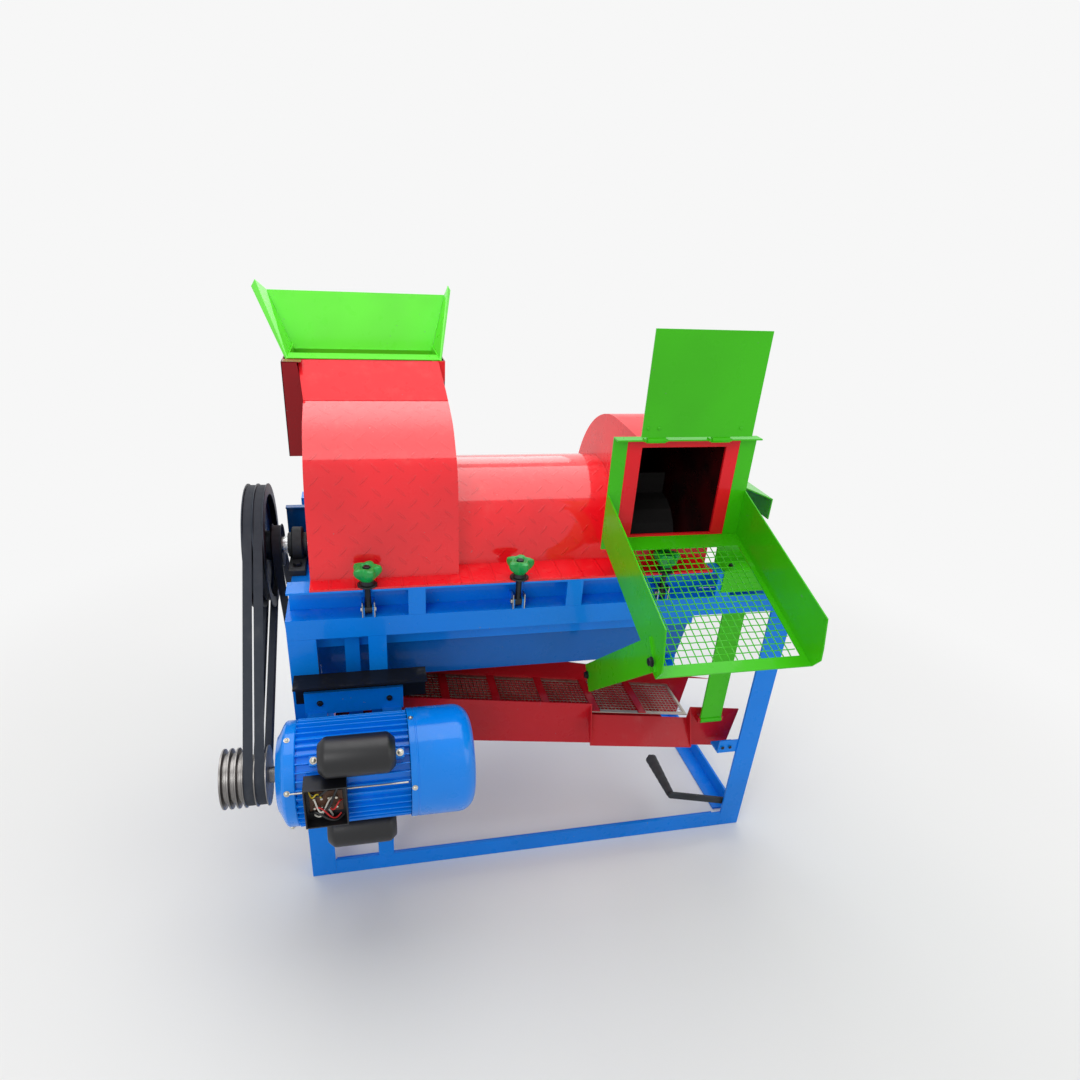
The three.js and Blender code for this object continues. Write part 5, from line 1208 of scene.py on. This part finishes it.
leads = {
    "lead_red": ("wire_red", 1.3, [lead((42, -209, 406), (84, -203, 384), 9, 8),
                                   lead((66, -209, 406), (88, -203, 414), 8, -5)]),
    "lead_yellow": ("wire_yellow", 1.2, [lead((54, -209, 426), (32, -203, 448), 9, 9)]),
    "lead_white": ("wire_white", 1.5, [lead((42, -209, 426), (70, -203, 380), 8, -12),
                                       lead((78, -209, 426), (40, -203, 386), 6, 10)]),
    "lead_black": ("black_plastic", 2.2, [lead((54, -209, 406), (90, -203, 448), 10, -9),
                                          lead((33, -203, 394), (89, -203, 380), 12, 6),
                                          lead((31, -203, 440), (86, -203, 446), 11, -8)]),
}
for name, (finish_name, radius, paths) in leads.items():
    piece(name, [tube(path, radius, 8) for path in paths], finish(finish_name), "frame")
print("terminal box pieces:", 3 + len(leads))

# %% [markdown]
# ## Capacitors
# The motor has two capacitors in black cans. A can is a turned profile with rounded ends, as
# plastic is moulded, and its axis lies parallel to the shaft at an angle round the motor. One
# distance and two angles place both.

# %% Capacitor cans
CANS = {"upper": 0.875, "lower": -1.417}
CAN_RADIUS, CAN_REACH = 34, 85 + 9 + 34 + 0.3
can_profile = [(52, 0), (52, 21), (53, 24), (60, 30.5), (63, 33), (67, CAN_RADIUS), (163, CAN_RADIUS),
               (167, 33), (170, 30.5), (177, 24), (178, 21), (178, 0)]


def can_at(angle):
    """Axis of a capacitor can, at an angle up from the front of the motor."""
    return AXIS_Y - CAN_REACH * math.cos(angle), AXIS_Z + CAN_REACH * math.sin(angle)


for place, angle in CANS.items():
    piece("capacitor_can_%s" % place, [turned(can_profile, *can_at(angle), 64)], finish("black_plastic"),
          "frame", ["capacitor_%s" % place])
print("cans at", [tuple(round(v) for v in can_at(angle)) for angle in CANS.values()])

# %% [markdown]
# ## Straps, screws and tie rod
# Short straps hold the cans, and screws and a long rod clamp the end shields of the motor. They
# stand at many angles round it. So each is drawn on top of the motor, where up is simply Z, and
# then turned about the shaft.

# %% Straps and screws
STRAP_TOP = 110
SHIELD_SCREWS = ((209, 97, 3.2, (0.25, -0.95, 1.6)), (-2, 92, 3.4, (0.36, -0.75, 1.35)))


def outward(angle):
    """Moves a piece drawn on top of the motor (z up from the axis) round to an angle that is
    measured up from the front: y, z = axis + z (-cos a, sin a) + y (sin a, cos a)."""
    cos, sin = math.cos(angle), math.sin(angle)
    return lambda p: np.stack([p[:, 0], AXIS_Y - p[:, 2] * cos + p[:, 1] * sin,
                               AXIS_Z + p[:, 2] * sin + p[:, 1] * cos], axis=1)


def screw(x, z, radius=4.2):
    """A round head on a washer, on top of the motor."""
    return [upright([(z, 0), (z, radius * 1.5), (z + 0.9, radius * 1.5), (z + 0.9, radius),
                     (z + 2.4, radius * 0.9), (z + 3.4, radius * 0.5), (z + 3.6, 0)], x, 0, 20)]


straps, screws = [], []
for angle in CANS.values():
    for x, lean in ((44, 1), (186, -1)):
        strap = [bar(x - 7, x + 7, -8, 8, 91, STRAP_TOP - 2),
                 bar(*sorted((x - 7 * lean, x + 10 * lean)), -8, 8, STRAP_TOP - 2, STRAP_TOP)]
        straps += laid(strap, outward(angle))
        screws += laid(screw(x, STRAP_TOP), outward(angle))
for x, z, radius, angles in SHIELD_SCREWS:
    for angle in angles:
        screws += laid(screw(x, z, radius), outward(angle))
screws += laid([tube([(2, 0, 95), (90, 0, 94.5), (198, 0, 95)], 1.4, 10)], outward(0.36))
piece("capacitor_straps", straps, finish("motor_blue"), "frame", bevel=0.4)
piece("motor_screws", screws, finish("zinc"), "frame")

# %% [markdown]
# ## Latches
# Each latch is an eye bolt that swings up into a slot, and a star knob of green plastic. The
# star is a circle whose radius rises and falls with the cosine of five times the angle. Its
# height profile is rounded, so the knob is a product of the two: radius = star(a) * profile(t).

# %% Star knobs and swing bolts
LATCH_Y, PIN_Z, LOBES = 8.0, 657, 5
KNOB_LOW, KNOB_HEIGHT, KNOB_RADIUS = 716, 28, 27


def star_knob(x, y, sides=100):
    """P(t, a): radius = profile(t) * knob radius * (0.83 + 0.17 cos(lobes a)), height = z(t).
    The wave fades out where the profile is narrow."""
    profile = np.array([(0.0, 0.0), (0.0, 0.42), (0.04, 0.52), (0.2, 0.66), (0.4, 0.86), (0.6, 0.98),
                        (0.78, 1.0), (0.92, 0.94), (1.0, 0.78), (0.98, 0.55), (0.88, 0.4), (0.86, 0.0)])
    angle = np.arange(sides) * 2 * np.pi / sides
    wave = 0.17 * np.cos(LOBES * angle)[None, :] * np.clip(profile[:, 1:] * 2 - 0.8, 0, 1)
    star = profile[:, 1:] * (0.83 + wave) * KNOB_RADIUS
    points = np.stack([x + star * np.cos(angle), y + star * np.sin(angle),
                       np.tile(KNOB_LOW + profile[:, :1] * KNOB_HEIGHT, (1, sides))], axis=-1)
    return skin(points.transpose(1, 0, 2), wrap_rows=True, caps=False)


collar = [(706.3, 0), (706.3, 17.5), (708.3, 17.5), (709.2, 16.6), (710, 12.6), (717, 11), (718, 0)]
cap = [(738, 0), (738, 7.5), (743, 7), (743.6, 6), (743.6, 0)]
turns = [point for k in range(14) for point in ((700 + k * 3.0, 5.4), (701.5 + k * 3.0, 6.0))]
thread = [(PIN_Z, 0), (PIN_Z, 5.6)] + turns + [(741.4, 5.2), (742, 4.4), (742, 0)]
for number, x in enumerate(LATCHES, 1):
    bolt, knob = "bolt_%d" % number, "knob_%d" % number
    piece("star_" + knob, [star_knob(x, LATCH_Y)], finish("knob_green"), knob, ["latch_" + knob])
    piece("knob_collar_%d" % number, [upright(collar, x, LATCH_Y), upright(cap, x, LATCH_Y, 6)],
          finish("dark_bolt"), knob)
    ears = [bar(*sorted((x + side * 9.9, x + side * 11.6)), -3, 14, 646, 676) for side in (1, -1)]
    ears.append(turned(rounded(x - 14, x + 14, 0, 5.6, 0.6), LATCH_Y, PIN_Z, 6))
    piece("latch_ears_%d" % number, ears, finish("zinc"), "frame", bevel=0.3)
    eye = turned(rounded(x - 6.5, x + 6.5, 0, 7.7, 0.5, 0.7), LATCH_Y, PIN_Z, 32)
    piece("eye_" + bolt, [upright(thread, x, LATCH_Y, 24), eye], finish("dark_bolt"), bolt,
          ["swing_" + bolt])
print("latches:", len(LATCHES))

# %% [markdown]
# ## Bearings
# The drum runs in two pillow blocks: a cast foot with low ends for its bolts, a round housing
# that a neck joins to it, and an insert ring. They are dark and rough. A folded plate stands
# behind the left one.

# %% Pillow blocks
BEARINGS = {"bearing_left": 10.5, "bearing_right": 986.0}
SHAFT_HOLE = 17.9
foot_outline = [(175, 645.3), (325, 645.3), (325, 657), (318, 660.3), (296, 661), (283, 661), (217, 661),
                (204, 661), (182, 660.3), (175, 657)]
for name, mid in BEARINGS.items():
    x0, x1 = mid - 19, mid + 19
    housing = turned(rounded(x0 + 8, x1 - 8, SHAFT_HOLE, 36.5, 2, 2.5), *DRUM_AT, 64, closed=True)
    housing[0][:, 2] = np.maximum(housing[0][:, 2], 645.8)
    insert = turned(rounded(x0, x1, SHAFT_HOLE, 25, 1), *DRUM_AT, 48, closed=True)
    neck = bar(x0 + 8, x1 - 8, 214, 286, 646, 662)
    piece(name + "_cast", [prism(foot_outline, 0, x0 + 3, x1 - 3), housing, insert, neck],
          finish("cast_iron"), "frame", [name], bevel=1.0)
folded_plate = [bar(-15, 44, 330, 333, 645.3, 734), bar(-15, 44, 318, 330, 731, 734)]
piece("bearing_plate", folded_plate, finish("sheet_blue"), "frame", bevel=0.5)
print("bearings at", BEARINGS)

# %% [markdown]
# ## Woven wire
# The floor of the chute and the screen of the grain tray are woven: each wire goes over one
# neighbour and under the next. A texture with holes would look flat at the edges, so every wire
# is a thin tube of few sides. Its height is a cosine with the pitch of the weave as half its
# period, and neighbours are half a period apart.

# %% Woven wire
def weave(u0, u1, v0, v1, pitch, radius, lift, level, sides=6):
    """Wires along u and along v over a rectangle. Height along u at v = k pitch:
    level + lift * cos(pi (u / pitch + k)), and the other way round for the second set."""
    skins = []
    for swap in (False, True):
        a0, a1, b0, b1 = (v0, v1, u0, u1) if swap else (u0, u1, v0, v1)
        count = int(round((b1 - b0) / pitch))
        steps = int(round((a1 - a0) / pitch)) * 4 + 1
        a = np.linspace(a0, a1, steps)
        for k in range(1, count):
            b = np.full(steps, b0 + (b1 - b0) * k / count)
            height = level + lift * np.cos(np.pi * ((a - a0) / pitch + k + swap))
            skins.append(tube(np.stack([b, a, height] if swap else [a, b, height], axis=1), radius, sides))
    return skins


print("a small weave has", len(weave(0, 30, 0, 30, 10, 1, 0.3, 0)), "wires")

# %% [markdown]
# ## Floor of the chute
# What leaves the drum slides out over this cloth. It is woven level and then laid on the slope
# of the chute, which runs from the outlet down to the front.

# %% Wire cloth of the chute
CHUTE_BACK, CHUTE_TOP, CHUTE_REACH, CHUTE_DROP = 32.7, 766, 304.7, 104.0
SLOPE, RUN = math.atan2(CHUTE_DROP, CHUTE_REACH), math.hypot(CHUTE_DROP, CHUTE_REACH)


def on_chute(points):
    """Chute floor: u along X, v down the slope from the back edge, w square to the floor."""
    u, v, w = points.T
    return np.stack([u, CHUTE_BACK - v * math.cos(SLOPE) - w * math.sin(SLOPE),
                     CHUTE_TOP - v * math.sin(SLOPE) + w * math.cos(SLOPE)], axis=1)


chute_wires = weave(594.3, 843.7, 34.3, RUN - 22.3, 14.0, 1.0, 0.35, 1.6)
piece("chute_wire_cloth", laid(chute_wires, on_chute), finish("chute_green"), "cover", ["chute_mesh"],
      crisp=80)

# %% [markdown]
# ## Screen of the grain tray
# The shaking tray has a finer cloth in a thin frame, with flat crossbars over it, and a board
# raises its back wall to just below the funnel. All are drawn level, in the tray's own
# directions, and tilted together.

# %% Screen, crossbars and board of the tray
TILT, TRAY_AT = 0.143, (200, 318)
SCREEN_LOW, SCREEN_HIGH, FRAME_LOW, FRAME_HIGH = (-136, 51.2), (637, 168.8), 82.2, 84.0


def on_tray(points):
    """Tray: u along the tray, v across it, w above its floor, turned by the tilt about Y."""
    u, v, w = points.T
    return np.stack([TRAY_AT[0] + u * math.cos(TILT) + w * math.sin(TILT), v,
                     TRAY_AT[1] - u * math.sin(TILT) + w * math.cos(TILT)], axis=1)


screen = weave(SCREEN_LOW[0], SCREEN_HIGH[0], SCREEN_LOW[1], SCREEN_HIGH[1], 9.0, 0.55, 0.4, 83.2, sides=5)
screen.append(band(rectangle(-130, 631, 58, 162), rectangle(-136.2, 637.2, 50.8, 169.2), 2, FRAME_LOW,
                   FRAME_HIGH, closed=True))
piece("tray_wire_screen", laid(screen, on_tray), finish("screen_steel"), "sieve", ["sieve_screen"],
      crisp=80)
crossbars = [bar(u - 9, u + 9, 50.9, 169.1, FRAME_HIGH + 0.2, FRAME_HIGH + 2)
             for u in np.linspace(-26, 526, 6)]
piece("tray_screen_ribs", laid(crossbars, on_tray), finish("tray_red"), "sieve",
      bevel=0.4)
board = [prism([(-105, 103.5), (745, 103.5), (182, 145.3)], 1, 169, 172)]
piece("tray_splash_board", laid(board, on_tray), finish("tray_red"), "sieve",
      bevel=0.4)

# %% [markdown]
# ## Lever grip
# The grip is a tapered plastic handle, thicker at its free end, with a rounded nose and
# shallow rings where the fingers lie.

# %% Lever grip
GRIP_START, GRIP_LENGTH, GRIP_AT, GRIP_RINGS = 14.3, 127.6, (820, 107), 7
length = np.linspace(0, 1, 60)
grip_radius = (9 + 5 * length) * (1 - 0.03 * (0.5 + 0.5 * np.cos(length * 2 * np.pi * GRIP_RINGS)))
grip_radius *= np.sqrt(np.clip((1 - length) / 0.05, 0.06, 1.0))
grip = np.stack([GRIP_START + GRIP_LENGTH * length, np.maximum(grip_radius, 0.5)], axis=1)
grip = np.vstack([[(GRIP_START, 0)], grip, [(GRIP_START + GRIP_LENGTH, 0)]])
piece("lever_grip_moulded", [facing(grip, *GRIP_AT, 40)], finish("grip_black"), "grip", ["lever_grip"])

# %% [markdown]
# ## Heads of bolts and rivets
# Small fasteners tell the eye how large a machine is. Each bolt is a hexagon with a chamfered
# crown on a thin washer. It is drawn on a level face and turned for the upright ones. A rivet is
# a low dome.

# %% Heads
WASHER = 1.4


def hexagon(x, y, radius, turn):
    """Six corners round (x, y), the first at the angle turn."""
    angle = turn + np.arange(6) * np.pi / 3
    return np.stack([x + radius * np.cos(angle), y + radius * np.sin(angle)], axis=1)


def bolt_up(x, y, z, size):
    """A hexagon head on a washer, on top of a level face."""
    washer = upright([(z, 0), (z, size * 1.05), (z + WASHER, size * 1.05), (z + WASHER, 0)], x, y, 24)
    points = []
    for share, level in ((1.0, 0), (1.0, 0.5), (0.9, 0.62)):
        ring = hexagon(x, y, size * 0.92 * share, 0.3)
        points.append(np.column_stack([ring, np.full(6, z + WASHER + size * level)]))
    return [washer, skin(np.array(points), wrap_columns=True)]


def bolt_front(x, y, z, size):
    """The same head on a face that looks to the front, towards -Y."""
    return laid(bolt_up(0, 0, 0, size), lambda p: np.stack([p[:, 0] + x, y - p[:, 2], p[:, 1] + z], axis=1))


def bolt_left(x, y, z, size):
    """The same head on a face that looks to the left, towards -X."""
    return laid(bolt_up(0, 0, 0, size), lambda p: np.stack([x - p[:, 2], p[:, 0] + y, p[:, 1] + z], axis=1))


def rivet(x, y, z, radius=4.0):
    """A round head on a face that looks to the front."""
    dome = [(y, 0), (y, radius), (y - 1.0, radius * 0.9), (y - 2.0, radius * 0.55), (y - 2.3, 0)]
    return facing(dome, x, z, 20)


print("a bolt has", sum(len(part[1]) for part in bolt_up(0, 0, 0, 5)), "faces")

# %% [markdown]
# ## Where the bolts sit
# Bolts hold the bearings, the motor and its upper rail, the screen beside the cover and the
# brace of the chute. Rivets sit on the front right leg and along the lower edge of the flap. They
# are gathered into one mesh for each body that carries them, because many small objects are slow
# to handle.

# %% Fasteners
CAST_FOOT_TOP, UPPER_RAIL_Z, BRACE_ENDS = 660.4, 512, ((-258, 686), (14, 470))
frame_bolts = []
for x in BEARINGS.values():
    for y in (193, 307):
        frame_bolts += bolt_up(x, y, CAST_FOOT_TOP, 9.0)
for x in (48, 176):
    for z in (472, 322):
        frame_bolts += bolt_front(x, FOOT_FACE - 0.1, z, 5.5)
for x in (22, 158):
    frame_bolts += bolt_front(x, RAIL_FACE + 0.2, UPPER_RAIL_Z, 5.0)
frame_bolts += [rivet(x, 0.0, 246) for x in (919, 937)]
for x in (SCREEN_LEFT + 24, SCREEN_RIGHT - 24):
    frame_bolts += bolt_up(x, 18, on_top + SCREEN_SHEET, 5.5)
piece("frame_fasteners", frame_bolts, finish("dark_bolt"), "frame")

chute_left = node_box("outlet_chute")[0][0]
brace_bolts = [part for y, z in BRACE_ENDS for part in bolt_left(chute_left, y, z, 8.0)]
piece("cover_fasteners", brace_bolts, finish("dark_bolt"), "cover")
flap_front = node_box("outlet_flap")[0][1]
flap_rivets = [rivet(x, flap_front + 4.2, 985, 3.2) for x in (632, 652, 806)]
piece("flap_fasteners", flap_rivets, finish("chute_green"), "flap")

# %% [markdown]
# The dressed machine has to stay inside the box of the engineering model.
